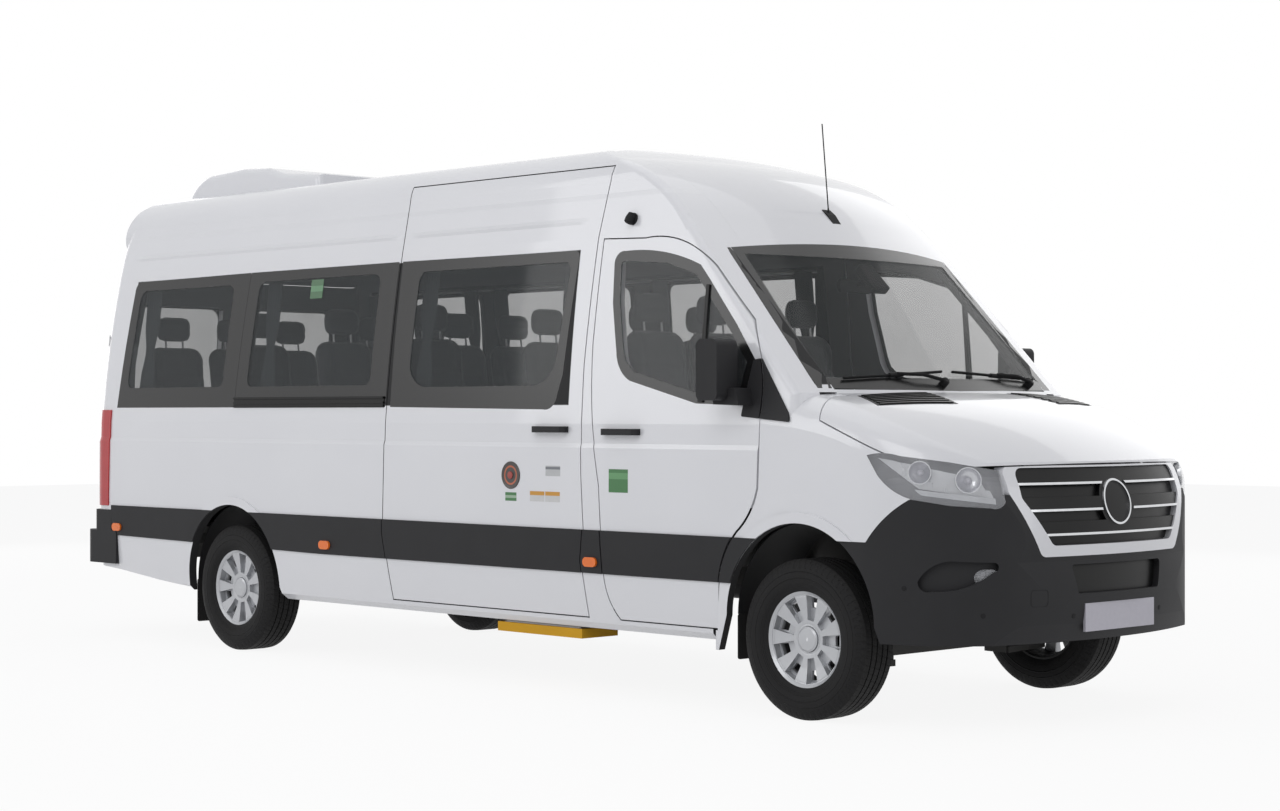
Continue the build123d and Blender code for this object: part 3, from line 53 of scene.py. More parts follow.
# ---- shader helper
class Socket:
    """A node socket that adds Math nodes when it is used in an expression."""

    def __init__(self, owner, socket):
        self.owner, self.socket = owner, socket

    def _math(self, operation, *values, clamp=False):
        node = self.owner.node("ShaderNodeMath", {"operation": operation, "use_clamp": clamp})
        for index, value in enumerate(values):
            self.owner.feed(node.inputs[index], value)
        return Socket(self.owner, node.outputs[0])

    def __add__(self, other): return self._math("ADD", self, other)
    def __radd__(self, other): return self._math("ADD", other, self)
    def __sub__(self, other): return self._math("SUBTRACT", self, other)
    def __rsub__(self, other): return self._math("SUBTRACT", other, self)
    def __mul__(self, other): return self._math("MULTIPLY", self, other)
    def __rmul__(self, other): return self._math("MULTIPLY", other, self)
    def __abs__(self): return self._math("ABSOLUTE", self)
    def over(self, other): return self._math("GREATER_THAN", self, other)
    def under(self, other): return self._math("LESS_THAN", self, other)
    def least(self, other): return self._math("MINIMUM", self, other)
    def most(self, other): return self._math("MAXIMUM", self, other)
    def sine(self): return self._math("SINE", self)
    def root(self): return self._math("SQRT", self)
    def angle_to(self, other): return self._math("ARCTAN2", self, other)
    def clamped(self): return self._math("ADD", self, 0.0, clamp=True)

    def rising(self, low, high):
        """0 below low, 1 above high, straight between them."""
        return ((self - low) * (1.0 / (high - low))).clamped()

    def near(self, middle, reach):
        """1 at the middle, falling straight to 0 at reach on both sides."""
        return (1.0 - abs(self - middle) * (1.0 / reach)).clamped()

    def between(self, low, high, fade):
        """1 from low to high, with straight ends as long as fade."""
        return self.rising(low - fade, low) * (1.0 - self.rising(high, high + fade))


class Nodes:
    """A node tree, with short ways to add to it."""

    def __init__(self, owner):
        owner.use_nodes = True
        self.tree = owner.node_tree

    def node(self, kind, settings=None, **inputs):
        made = self.tree.nodes.new(kind)
        for key, value in (settings or {}).items():
            setattr(made, key, value)
        for key, value in inputs.items():
            self.feed(made.inputs[key.replace("_", " ")], value)
        return made

    def feed(self, target, value):
        if isinstance(value, Socket):
            self.tree.links.new(value.socket, target)
        elif isinstance(value, bpy.types.NodeSocket):
            self.tree.links.new(value, target)
        elif isinstance(value, tuple) and len(value) == 3 and len(target.default_value) == 4:
            target.default_value = (*value, 1.0)
        else:
            target.default_value = value

    def seen(self):
        """1 for what the camera sees straight, mirrored or through glass."""
        rays = self.node("ShaderNodeLightPath").outputs
        straight, glossy, through = (Socket(self, rays[f"Is {kind} Ray"])
                                     for kind in ("Camera", "Glossy", "Transmission"))
        return straight.most(glossy).most(through)

    def show(self, factor, first, second, target):
        """Blends two shaders into the tree's output node."""
        blend = self.node("ShaderNodeMixShader")
        for socket, value in zip(blend.inputs, (factor, first, second)):
            self.feed(socket, value)
        self.feed(self.tree.nodes[target].inputs[0], blend.outputs[0])


class Finish(Nodes):
    """One node material, built round a Principled shader."""

    def __init__(self, name, **sockets):
        self.material = bpy.data.materials.new(name)
        super().__init__(self.material)
        self.shader = self.tree.nodes["Principled BSDF"]
        self.set(**sockets)

    def set(self, **sockets):
        for socket, value in sockets.items():
            self.feed(self.shader.inputs[socket.replace("_", " ")], value)
        return self

    def _parts(self, output):
        where = self.node("ShaderNodeTexCoord").outputs[output]
        parts = self.node("ShaderNodeSeparateXYZ", Vector=where)
        return [Socket(self, parts.outputs[index]) for index in range(3)]

    def place(self):
        """x, y and z of the point, which stay with the piece when its body moves."""
        return self._parts("Object")

    def facing(self):
        """x, y and z of the surface's normal, which stay with the piece too."""
        return self._parts("Normal")

    def noise(self, scale, detail):
        where = self.node("ShaderNodeTexCoord").outputs["Object"]
        made = self.node("ShaderNodeTexNoise", Scale=scale, Detail=detail, Vector=where)
        return Socket(self, made.outputs["Fac"])

    def mix(self, factor, first, second):
        made = self.node("ShaderNodeMix", {"data_type": "RGBA"})
        self.feed(made.inputs[0], factor)
        self.feed(made.inputs[6], first)
        self.feed(made.inputs[7], second)
        return made.outputs[2]

    def bump(self, height, strength, distance):
        made = self.node("ShaderNodeBump", Height=height, Strength=strength, Distance=distance)
        return self.set(Normal=made.outputs["Normal"])

    def on(self, piece):
        piece.data.materials.clear()
        piece.data.materials.append(self.material)


def radius_about(across, up):
    return (across * across + up * up).root()


# ---- finishes
BELT_CREASE, ROOF_RIB, SHOULDER_CREASE = 1.200, 2.285, 2.400
ROOF_RIB_SPANS = ((-2.946, -0.517), (-0.288, 0.953))
SIDE_Y = 0.700  # the sides lie farther out than this
LINING_CENTRE, LINING_X_SHARE = 1.0, 0.3  # faces that look towards this height inside the cabin are lined
ARCH_CENTRES, ARCH_REACH = ((2.4795, 0.441), (-1.8415, 0.384)), 0.560
BAND_X, BAND_Z = (-2.950, 0.985), (1.392, 2.142)  # the panel behind the side windows' glass
SCREEN_EDGE_Y, SCREEN_EDGE_Z, SCREEN_EDGE_SLOPE = 0.864, 1.460, 0.094  # the screen's edge leans inwards
SCREEN_BACK_X, SCREEN_SIDE_Z = 1.780, (1.480, 2.100)
BLACK = (0.006, 0.006, 0.007)


def body_paint(name, lined):
    """White lacquer with pressed creases, black behind glass, painted shade in black on the faces inside
    the arches, lined with grey inside.
    """
    paint = Finish(name, Coat_Roughness=0.05)
    x, y, z = paint.place()
    facing_x, facing_y, facing_z = paint.facing()
    outward = facing_x * x * LINING_X_SHARE + facing_y * y + facing_z * (z - LINING_CENTRE)
    lining = outward.under(-0.02) * (1.0 if lined else 0.0)
    flow = paint.noise(1.6, 2.0)
    lacquer = paint.mix(flow, (0.70, 0.705, 0.735), (0.735, 0.74, 0.765))
    cloth = paint.mix(paint.noise(240.0, 2.0), (0.10, 0.105, 0.11), (0.17, 0.175, 0.18))
    on_side = abs(y).over(SIDE_Y)
    black = on_side * x.between(*BAND_X, 0.004) * z.between(*BAND_Z, 0.004)
    within_edge = (SCREEN_EDGE_Y - (z - SCREEN_EDGE_Z) * SCREEN_EDGE_SLOPE - abs(y)).over(0.0)
    black = black.most(within_edge * x.over(SCREEN_BACK_X) * z.between(*SCREEN_SIDE_Z, 0.004))
    # painted shade: faces inside the wheel arches that turn towards the axle are painted black, where shade
    # falls
    for axle_x, axle_z in ARCH_CENTRES:
        across, up = x - axle_x, z - axle_z
        towards_axle = (facing_x * across + facing_z * up).under(-0.15)
        black = black.most(towards_axle * radius_about(across, up).under(ARCH_REACH))
    dull = lining.most(black)
    paint.set(Base_Color=paint.mix(black, paint.mix(lining, lacquer, cloth), BLACK),
              Coat_Weight=(1.0 - dull) * 0.7, Roughness=0.30 + flow * 0.06 + dull * 0.5)
    ribs = 0.0
    for rear, front in ROOF_RIB_SPANS:
        ribs = ribs + z.near(ROOF_RIB, 0.016) * x.between(rear, front, 0.08)
    shoulder = z.rising(SHOULDER_CREASE - 0.012, SHOULDER_CREASE + 0.012) * x.between(-3.2, 1.55, 0.15)
    belt = z.rising(BELT_CREASE - 0.009, BELT_CREASE + 0.009) * x.between(-3.2, 1.7, 0.45) * 0.5
    paint.bump((ribs - shoulder + belt) * on_side, 1.0, 0.006)
    return paint


def grained_plastic(name, dark, light, rough, scale=420.0, depth=0.0006):
    plastic = Finish(name, Specular_IOR_Level=0.22)
    grain = plastic.noise(scale, 2.0)
    shade = plastic.mix(plastic.noise(5.0, 3.0), dark, light)
    plastic.set(Base_Color=shade, Roughness=rough + grain * 0.12)
    return plastic.bump(grain, 0.35, depth)


def tyre_rubber(axle_x, axle_z):
    """Rings and plain bands on the sidewalls, with cross grooves over the tread."""
    rubber = Finish("tyre_rubber", Specular_IOR_Level=0.2)
    x, y, z = rubber.place()
    across, up = x - axle_x, z - axle_z
    radius, turn = radius_about(across, up), up.angle_to(across)
    dust = rubber.noise(11.0, 4.0)
    tread = radius.rising(0.338, 0.344)
    sipes = ((turn * 72.0 + y * 60.0).sine()).rising(0.55, 0.8) * tread
    blocks = (turn * 60.0).sine().rising(0.3, 0.6) * radius.between(0.318, 0.338, 0.004)
    rings = (radius * 900.0).sine().rising(0.2, 0.9) * radius.between(0.232, 0.246, 0.003)
    band = radius.near(0.272, 0.004) + radius.near(0.300, 0.003)
    shade = rubber.mix(dust * 0.7 + tread * 0.15, BLACK, (0.022, 0.0215, 0.021))
    rubber.set(Base_Color=shade, Roughness=0.62 + dust * 0.2)
    grain = rubber.noise(300.0, 2.0)
    return rubber.bump(band + rings * 0.4 - sipes - blocks * 0.8 + grain * 0.15, 0.9, 0.004)


def wheel_silver(axle_x, axle_z):
    """Silver lacquer on the cover; the deep faces inside the wheel are painted near-black and dull, as
    painted shade in the recess.
    """
    silver = Finish("wheel_silver", Coat_Roughness=0.1)
    x, y, z = silver.place()
    radius = radius_about(x - axle_x, z - axle_z)
    # painted shade: faces farther in than the cover are painted near-black
    deep_shade = 1.0 - abs(y).rising(0.885, 0.905)
    fleck = silver.noise(900.0, 1.0)
    lacquer = silver.mix(fleck, (0.42, 0.43, 0.45), (0.51, 0.52, 0.54))
    silver.set(Base_Color=silver.mix(deep_shade, lacquer, (0.012, 0.012, 0.013)), Metallic=(1.0 - deep_shade) * 0.35,
               Roughness=0.32 + fleck * 0.08 + deep_shade * 0.4, Coat_Weight=(1.0 - deep_shade) * 0.5)
    return silver.bump(radius.near(0.066, 0.004) + radius.near(0.190, 0.003), 0.6, -0.002)


def metal(name, dark, light, metallic, rough, scale=90.0):
    made = Finish(name)
    grain = made.noise(scale, 4.0)
    made.set(Base_Color=made.mix(grain, dark, light), Metallic=metallic, Roughness=rough + grain * 0.15)
    return made.bump(grain, 0.25, 0.0008)


def rounded_pane(x, z, low, high, rear, front, corners):
    """1 well inside a slanted pane with round corners, 0 on its black border.

    rear and front hold each edge's x at the foot and at the top, corners the radii there.
    """
    rise = (z - low) * (1.0 / (high - low))
    from_rear = x - (rear[0] + rise * (rear[1] - rear[0]))
    from_front = (front[0] + rise * (front[1] - front[0])) - x
    radius = corners[0] + rise.clamped() * (corners[1] - corners[0])
    side_gap = (radius - from_rear.least(from_front)).most(0.0)
    end_gap = (radius - (z - low).least(high - z)).most(0.0)
    inside = radius - (side_gap * side_gap + end_gap * end_gap).root()
    return inside.rising(0.0, 0.004)


SIDE_PANES = (  # foot, top, rear edge's x at both, front edge's x at both, corner radii at both
    (1.485, 2.090, (-0.262, -0.240), (0.862, 0.935), (0.15, 0.05)),
    (1.499, 2.095, (-1.720, -1.677), (-0.584, -0.566), (0.05, 0.06)),
    (1.500, 2.087, (-2.965, -2.899), (-1.957, -1.922), (0.05, 0.06)),
)
SCREEN_FOOT, SCREEN_TOP, SCREEN_TOP_Y, SCREEN_SPREAD = 1.515, 2.085, 0.735, 0.105
REAR_PANES = (1.47, 2.01, (0.13, 0.13), (0.76, 0.745), (0.07, 0.07))


def window_glass(name, tint, clear_alpha, panes):
    """Tinted glass with a baked-on black border round each clear pane."""
    glass = Finish(name)
    clear = panes(glass)
    haze = glass.noise(2.4, 2.0)
    glass.set(Base_Color=glass.mix(clear, (0.008, 0.008, 0.0085), tint),
              Alpha=(clear_alpha + haze * 0.06).most(1.0 - clear),
              Roughness=0.24 - clear * 0.21 + haze * 0.02)
    return glass


def side_panes(glass):
    x, _, z = glass.place()
    clear = 0.0
    for low, high, rear, front, corners in SIDE_PANES:
        clear = rounded_pane(x, z, low, high, rear, front, corners) + clear
    return clear.clamped()


def screen_panes(glass):
    _, y, z = glass.place()
    edge = SCREEN_TOP_Y + (SCREEN_TOP - z) * SCREEN_SPREAD - abs(y)
    return edge.rising(0.0, 0.01) * z.between(SCREEN_FOOT, SCREEN_TOP, 0.008)


def rear_panes(glass):
    _, y, z = glass.place()
    return rounded_pane(abs(y), z, *REAR_PANES)


DOOR_PANE = (  # x and z, all round
    (1.250, 1.875), (1.300, 1.640), (1.325, 1.570), (1.404, 1.503), (1.848, 1.395), (2.150, 1.385),
    (2.205, 1.590), (2.079, 1.750), (1.883, 1.966), (1.816, 2.035), (1.600, 2.100), (1.303, 2.123),
    (1.250, 2.105), (1.236, 2.060),
)
DOOR_BORDER = 0.046


def door_panes(glass):
    """1 farther than the border's width inside every edge of the pane's outline."""
    x, _, z = glass.place()
    inside = None
    for (from_x, from_z), (to_x, to_z) in zip(DOOR_PANE, DOOR_PANE[1:] + DOOR_PANE[:1]):
        length = ((to_x - from_x) ** 2 + (to_z - from_z) ** 2) ** 0.5
        along_x, along_z = (to_x - from_x) / length, (to_z - from_z) / length
        gap = z * along_x - x * along_z + (from_x * along_z - from_z * along_x)
        inside = gap if inside is None else inside.least(gap)
    return inside.rising(DOOR_BORDER, DOOR_BORDER + 0.004)


def lens(name, colour, alpha, pitch, depth=0.1):
    """A lamp lens with fine vertical flutes."""
    cover = Finish(name, Roughness=0.08, Coat_Weight=0.3)
    x, y, _ = cover.place()
    flute = ((x + abs(y)) * (2 * pi / pitch)).sine()
    shade = cover.noise(14.0, 2.0)
    pale = tuple(min(1.0, part * 1.2) for part in colour)
    cover.set(Base_Color=cover.mix(shade, colour, pale), Alpha=alpha + shade * 0.04)
    return cover.bump(flute, depth, 0.001)


def seat_cloth(name, dark, light):
    cloth = Finish(name, Sheen_Weight=0.25, Sheen_Roughness=0.5)
    x, y, z = cloth.place()
    weave = (y * 1400.0).sine() * ((z + x) * 1400.0).sine()
    fleck = cloth.noise(70.0, 3.0)
    cloth.set(Base_Color=cloth.mix(fleck * 0.8 + weave * 0.1, dark, light), Roughness=0.85 + fleck * 0.1)
    return cloth.bump(weave, 0.4, 0.0008)


def printed(name, ground, band, low, high):
    """A blank printed plate: one ground colour with a plain band across it."""
    sheet = Finish(name, Coat_Weight=0.3)
    _, _, z = sheet.place()
    wear = sheet.noise(60.0, 3.0)
    stripe = z.between(low, high, 0.0015)
    worn = sheet.mix(wear, ground, tuple(part * 0.85 for part in ground))
    sheet.set(Base_Color=sheet.mix(stripe, worn, band), Roughness=0.35 + wear * 0.15)
    return sheet


def badge_print(middle_x, middle_z):
    """A plain dark disc with an orange ring and a red middle."""
    disc = Finish("round_badge", Coat_Weight=0.4)
    x, _, z = disc.place()
    radius = radius_about(x - middle_x, z - middle_z)
    ring = radius.between(0.040, 0.047, 0.002)
    middle = 1.0 - radius.rising(0.018, 0.020)
    wear = disc.noise(80.0, 3.0)
    dark = disc.mix(wear, (0.016, 0.012, 0.010), (0.035, 0.026, 0.022))
    ringed = disc.mix(ring, dark, (0.42, 0.09, 0.03))
    disc.set(Base_Color=disc.mix(middle, ringed, (0.30, 0.03, 0.02)), Roughness=0.35 + wear * 0.2)
    return disc


# ---- mesh helpers
def rectangle(low, high):
    """The four corners between two opposite ones, in two directions."""
    return (low[0], low[1]), (high[0], low[1]), (high[0], high[1]), (low[0], high[1])


def circle(middle, first, second, radius, sides, flat=1.0):
    """Points round a middle, from two directions square to each other; flat squeezes the second."""
    turns = [2 * pi * step / sides for step in range(sides)]
    return [middle + (first * cos(turn) + second * sin(turn) * flat) * radius for turn in turns]


def grid(rows, columns):
    """The faces between a grid's points, which are given row by row."""
    size = columns + 1
    firsts = [row * size + column for row in range(rows) for column in range(columns)]
    return [(first, first + 1, first + size + 1, first + size) for first in firsts]


def side_field(low, high, side=-1):
    """A look at one side of the vehicle: its direction, and a rectangle's corners given in x and z."""
    return (0, -side, 0), [(x, FAR_SIDE * side, z) for x, z in rectangle(low, high)]


def forward_field(start_x, low, high):
    """The same for a look forwards, with the corners in y and z."""
    return (1, 0, 0), [(start_x, y, z) for y, z in rectangle(low, high)]


def mirrored(points, side):
    """Points given for the left side, on the side asked for."""
    return [(x, y * side, z) for x, y, z in points]


def linked(name, data):
    made = bpy.data.objects.new(name, data)
    bpy.context.collection.objects.link(made)
    return made


def meshed(name, points, faces):
    mesh = bpy.data.meshes.new(name)
    mesh.from_pydata(points, [], faces)
    return linked(name, mesh)


class Skin:
    """Finds where a straight line meets the surface of some of the solids."""

    def __init__(self, *names):
        solids = Shape()
        for name in names:
            mesh = nodes[name].data
            solids.add([corner.co for corner in mesh.vertices], [face.vertices for face in mesh.polygons])
        self.tree = BVHTree.FromPolygons(solids.points, solids.faces)

    def meet(self, start, along):
        """The place and the surface's normal there."""
        return self.tree.ray_cast(Vector(start), Vector(along).normalized())[:2]

    def from_front(self, y, z):
        return self.meet((FAR_FRONT, y, z), (-1, 0, 0))

    def from_side(self, x, z, side=-1):
        return self.meet((x, FAR_SIDE * side, z), (0, -side, 0))


BEVEL_ANGLE, CRISP_ANGLE = 35, 38  # edges sharper than these, in degrees, are rounded off or kept crisp


class Shape:
    """A mesh being put together from closed forms, in the frame's own metres."""

    def __init__(self):
        self.points, self.faces = [], []

    def add(self, points, faces):
        start = len(self.points)
        self.points += [tuple(point) for point in points]
        self.faces += [tuple(start + index for index in face) for face in faces]
        return self

    def loft(self, rings, caps=True):
        """Joins rings of equally many points, each to the next."""
        count, last = len(rings[0]), len(rings) - 1
        steps = [(index, (index + 1) % count) for index in range(count)]
        faces = [(row + index, row + after, row + count + after, row + count + index)
                 for row in range(0, last * count, count) for index, after in steps]
        if caps:
            faces += [tuple(reversed(range(count))), tuple(range(last * count, (last + 1) * count))]
        return self.add([point for ring in rings for point in ring], faces)

    def turned(self, centre, axis, profile, sides=40):
        """A turned form: profile holds (distance along the axis, radius)."""
        axis = Vector(axis).normalized()
        first = axis.orthogonal().normalized()
        second = axis.cross(first)
        return self.loft([circle(Vector(centre) + axis * along, first, second, radius, sides)
                          for along, radius in profile])

    def tube(self, path, radius, sides=10, flat=1.0):
        """A round bar along a path, or an oval one where flat is under 1."""
        path = [Vector(point) for point in path]
        rings, side = [], None
        for index, point in enumerate(path):
            along = (path[min(index + 1, len(path) - 1)] - path[max(index - 1, 0)]).normalized()
            side = along.orthogonal() if side is None else side - along * side.dot(along)
            side.normalize()
            rings.append(circle(point, side, along.cross(side), radius, sides, flat))
        return self.loft(rings)

    def ring(self, points, radius, sides=8):
        """A thin round bar along a closed loop of points."""
        points = [Vector(point) for point in points]
        count = len(points)
        middle = sum(points, Vector()) / count
        rows = []
        for index, point in enumerate(points):
            along = (points[(index + 1) % count] - points[index - 1]).normalized()
            out = point - middle
            out = (out - along * out.dot(along)).normalized()
            rows.append(circle(point, out, along.cross(out), radius, sides))
        return self.loft(rows + [rows[0]], caps=False)

    def box(self, low, high):
        return self.loft([[(x, y, z) for x, y in rectangle(low, high)] for z in (low[2], high[2])])

    def plate(self, skin, along, corners, rise, sink=0.002, steps=(8, 4)):
        """A closed plate over a four-cornered field, laid on a skin as it is met along a direction."""
        a, b, c, d = (Vector(corner) for corner in corners)
        across, up = steps
        upper, lower = [], []
        for row in range(up + 1):
            for column in range(across + 1):
                u, v = column / across, row / up
                start = (a * (1 - u) + b * u) * (1 - v) + (d * (1 - u) + c * u) * v
                place, normal = skin.meet(start, along)
                upper.append(place + normal * rise)
                lower.append(place - normal * sink)
        count, size = len(upper), across + 1
        faces = []
        for quad in grid(up, across):
            faces += [quad, tuple(count + index for index in reversed(quad))]
        far = up * size  # the last row's first point
        rim = [*range(across), *range(across, far + across, size), *range(far + across, far, -1),
               *range(far, 0, -size)]
        for corner, after in zip(rim, rim[1:] + rim[:1]):
            faces.append((corner, count + corner, count + after, after))
        return self.add(upper + lower, faces)

    def become(self, name, finish, slot="dark_plastic", body="body", round_off=0.0, smooth=True):
        """Makes the piece, which rides on a body."""
        piece = meshed(name, self.points, self.faces)
        piece.data.validate()
        tidy_mesh(piece)
        if smooth:
            piece.data.shade_smooth()
        if round_off:
            edge = piece.modifiers.new("rounded_edges", "BEVEL")
            edge.width, edge.segments, edge.limit_method = round_off, 2, "ANGLE"
            edge.angle_limit = radians(BEVEL_ANGLE)
        if smooth:
            piece.modifiers.new("crisp_corners", "WEIGHTED_NORMAL").keep_sharp = True
        finish.on(piece)
        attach(piece, body)
        return piece


def tidy_mesh(piece):
    """Turns every face of the piece outwards and marks its crisp edges."""
    work = bmesh.new()
    work.from_mesh(piece.data)
    bmesh.ops.recalc_face_normals(work, faces=work.faces)
    for edge in work.edges:
        if len(edge.link_faces) == 2 and edge.calc_face_angle() > radians(CRISP_ANGLE):
            edge.smooth = False
    work.to_mesh(piece.data)
    work.free()


# ---- finishes on the solids
paint, unlined_paint = body_paint("white_paint", True), body_paint("white_paint_unlined", False)
trim = grained_plastic("trim_grey", (0.015, 0.015, 0.0165), (0.021, 0.021, 0.023), 0.50)
dark = grained_plastic("inner_black", BLACK, (0.012, 0.012, 0.013), 0.62)
gloss_black = grained_plastic("gloss_black", (0.003, 0.003, 0.0032), (0.006, 0.006, 0.0063), 0.26, 20, 5e-5)
dash_finish = grained_plastic("dash_grey", (0.030, 0.031, 0.034), (0.045, 0.046, 0.050), 0.55)
flap_rubber = grained_plastic("flap_rubber", (0.012, 0.012, 0.012), (0.022, 0.021, 0.021), 0.75, 200, 1e-3)
tank_plastic = grained_plastic("tank_black", (0.010, 0.010, 0.011), (0.020, 0.020, 0.021), 0.45, 150, 8e-4)
yellow = grained_plastic("step_yellow", (0.55, 0.28, 0.010), (0.68, 0.37, 0.015), 0.42, 160)
chrome = metal("chrome_trim", (0.60, 0.61, 0.63), (0.72, 0.73, 0.75), 1.0, 0.10, 30.0)
reflector = metal("reflector", (0.55, 0.56, 0.58), (0.70, 0.71, 0.73), 0.9, 0.12, 40.0)
plate_silver = metal("plate_silver", (0.40, 0.39, 0.44), (0.46, 0.45, 0.50), 0.35, 0.32, 50.0)
tread_silver = metal("tread_silver", (0.42, 0.42, 0.43), (0.55, 0.55, 0.56), 0.8, 0.35)
underbody = metal("underbody_black", (0.010, 0.010, 0.010), (0.035, 0.034, 0.032), 0.2, 0.55, 9.0)
cast = metal("cast_steel", (0.08, 0.078, 0.074), (0.19, 0.185, 0.18), 0.7, 0.55)
seat_fabric = seat_cloth("seat_cloth", (0.030, 0.031, 0.034), (0.070, 0.072, 0.078))
curtain_cloth = seat_cloth("curtain_cloth", (0.060, 0.070, 0.076), (0.110, 0.122, 0.130))
side_glass = window_glass("side_glass", (0.060, 0.068, 0.072), 0.26, side_panes)
door_glass = window_glass("door_glass", (0.055, 0.062, 0.066), 0.26, door_panes)
rear_glass = window_glass("rear_glass", (0.050, 0.056, 0.060), 0.30, rear_panes)
screen_glass = window_glass("screen_glass", (0.050, 0.058, 0.060), 0.16, screen_panes)
clear_lens = lens("clear_lens", (0.62, 0.63, 0.66), 0.27, 0.06, 0.02)
red_lens = lens("red_lens", (0.42, 0.008, 0.014), 0.94, 0.02)
amber_lens = lens("amber_lens", (0.80, 0.16, 0.010), 0.92, 0.01)

flutes = lens("fluted_strip", (0.60, 0.61, 0.63), 0.75, 0.012, 0.8)
lamp_grey = metal("lamp_grey", (0.52, 0.53, 0.55), (0.66, 0.67, 0.69), 0.45, 0.22, 20.0)

WEARERS = (  # everything else is painted
    (unlined_paint, "roof_cooler fenders bonnet grille_surround arch_flares"),
    (screen_glass, "windshield"),
    (side_glass, "side_windows sliding_door_glass"),
    (door_glass, "front_door_glass_right front_door_glass_left"),
    (rear_glass, "rear_door_glass_right rear_door_glass_left"),
    (clear_lens, "headlamps fog_lamps"),
    (red_lens, "tail_lamps"),
    (amber_lens, "side_markers"),
    (trim, "side_cladding front_bumper rear_bumper"),
    (trim, "sliding_door_trim front_door_trim_right front_door_trim_left"),
    (dark, "wheel_arch_liners aerial"),
    (gloss_black, "grille"),
    (chrome, "grille_brightwork"),
    (plate_silver, "number_plate"),
    (yellow, "entry_step"),
    (dash_finish, "dashboard steering_wheel"),
    (underbody, "frame_rails front_suspension floor_pan seat_frames"),
    (cast, "rear_axle engine_block knuckle_right knuckle_left"),
    (tank_plastic, "fuel_tank"),
    (flap_rubber, "mud_flaps"),
)
worn = {name: finish for finish, names in WEARERS for name in names.split()}
for name, node in nodes.items():
    low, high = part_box(name)
    axle = (low[0] + high[0]) / 2, (low[2] + high[2]) / 2
    if name.startswith("tyre_"):
        tyre_rubber(*axle).on(node)
    elif name.startswith("wheel_") and name not in worn:
        wheel_silver(*axle).on(node)
    else:
        worn.get(name, paint).on(node)


# ---- cushions
SEAT_WIDTH, SEAT_DEPTH, CUSHION_THICK = 0.430, 0.440, 0.110
CUSHION_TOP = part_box("seat_cushions")[1][2]
BACK_HEIGHT, BACK_THICK, BACK_LEAN = 0.640, 0.078, 0.085
HEADREST_LOW, HEADREST_HIGH, HEADREST_WIDTH = 0.650, 0.808, 0.250
CAB_SEATS = ((1.480, 0.440), (1.480, -0.215), (1.480, -0.650))
ROWS_X, ROW_Y = (0.560, -0.230, -1.020, -1.810), (0.640, 0.205, -0.640)
REAR_BENCH = tuple((-2.700, y) for y in (-0.653, -0.218, 0.218, 0.653))
BESIDE_DOOR = ROWS_X[0]  # this row has no seat on the right
SEATS = CAB_SEATS + tuple((x, y) for x in ROWS_X for y in ROW_Y if x != BESIDE_DOOR or y > 0) + REAR_BENCH
VOXEL, SWELL_FRAMES, CROWN, WAIST = 0.0125, 14, 0.10, 0.018


def rounded_outline(wide, tall, radius, per_corner=5):
    """Corner points of a rectangle with round corners, about its middle."""
    points = []
    for quarter, (side, end) in enumerate(((1, 1), (-1, 1), (-1, -1), (1, -1))):
        for step in range(per_corner + 1):
            turn = (quarter + step / per_corner) * pi / 2
            points.append((side * (wide / 2 - radius) + radius * cos(turn),
                           end * (tall / 2 - radius) + radius * sin(turn)))
    return points


def stuffed(name, wide, tall, thick, radius, swell):
    """A pad about the origin, wide by tall by thick, blown up from a tighter form by no more than swell."""
    rings = []
    for share, inset in ((0.0, 0.030), (0.12, 0.012), (0.5, 0.0), (0.88, 0.012), (1.0, 0.030)):
        outline = rounded_outline(wide - 2 * inset, tall - 2 * inset, radius)
        rings.append([(across, up, (share - 0.5) * thick) for across, up in outline])
    shape = Shape().loft(rings)
    pad = meshed(name, shape.points, shape.faces)
    even = pad.modifiers.new("even_faces", "REMESH")
    even.mode, even.voxel_size = "VOXEL", VOXEL
    settle(pad)
    start = [corner.co.copy() for corner in pad.data.vertices]
    cloth = pad.modifiers.new("stuffing", "CLOTH")
    cloth.settings.use_pressure = True
    cloth.settings.uniform_pressure_force = 4.0
    cloth.settings.effector_weights.gravity = 0.0
    cloth.point_cache.frame_start, cloth.point_cache.frame_end = 1, SWELL_FRAMES
    for step in range(1, SWELL_FRAMES + 1):
        bpy.context.scene.frame_set(step)
    settle(pad)
    bpy.context.scene.frame_set(1)
    for corner, before in zip(pad.data.vertices, start):
        move = corner.co - before
        if move.length > swell:
            corner.co = before + move.normalized() * swell
        # the middle of each face stands up, and the sides pull in between the corners
        across, up = corner.co.x / (wide / 2), corner.co.y / (tall / 2)
        mid_across, mid_up = max(0.0, 1 - across * across), max(0.0, 1 - up * up)
        corner.co.z *= 1.0 + CROWN * mid_across * mid_up
        corner.co.x *= 1.0 - WAIST * mid_up
        corner.co.y *= 1.0 - WAIST * mid_across
    return pad


def settle(piece):
    """Makes what the piece's modifiers show its own mesh."""
    graph = bpy.context.evaluated_depsgraph_get()
    graph.update()
    piece.data = bpy.data.meshes.new_from_object(piece.evaluated_get(graph))
    piece.modifiers.clear()


def sew(pad, channels, depth=0.007, width=0.011):
    """Presses sewn channels, each (axis, place), into the front of a pad."""
    for corner in pad.data.vertices:
        if corner.co.z > 0:
            for axis, place in channels:
                corner.co.z -= depth * exp(-((corner.co[axis] - place) / width) ** 2)


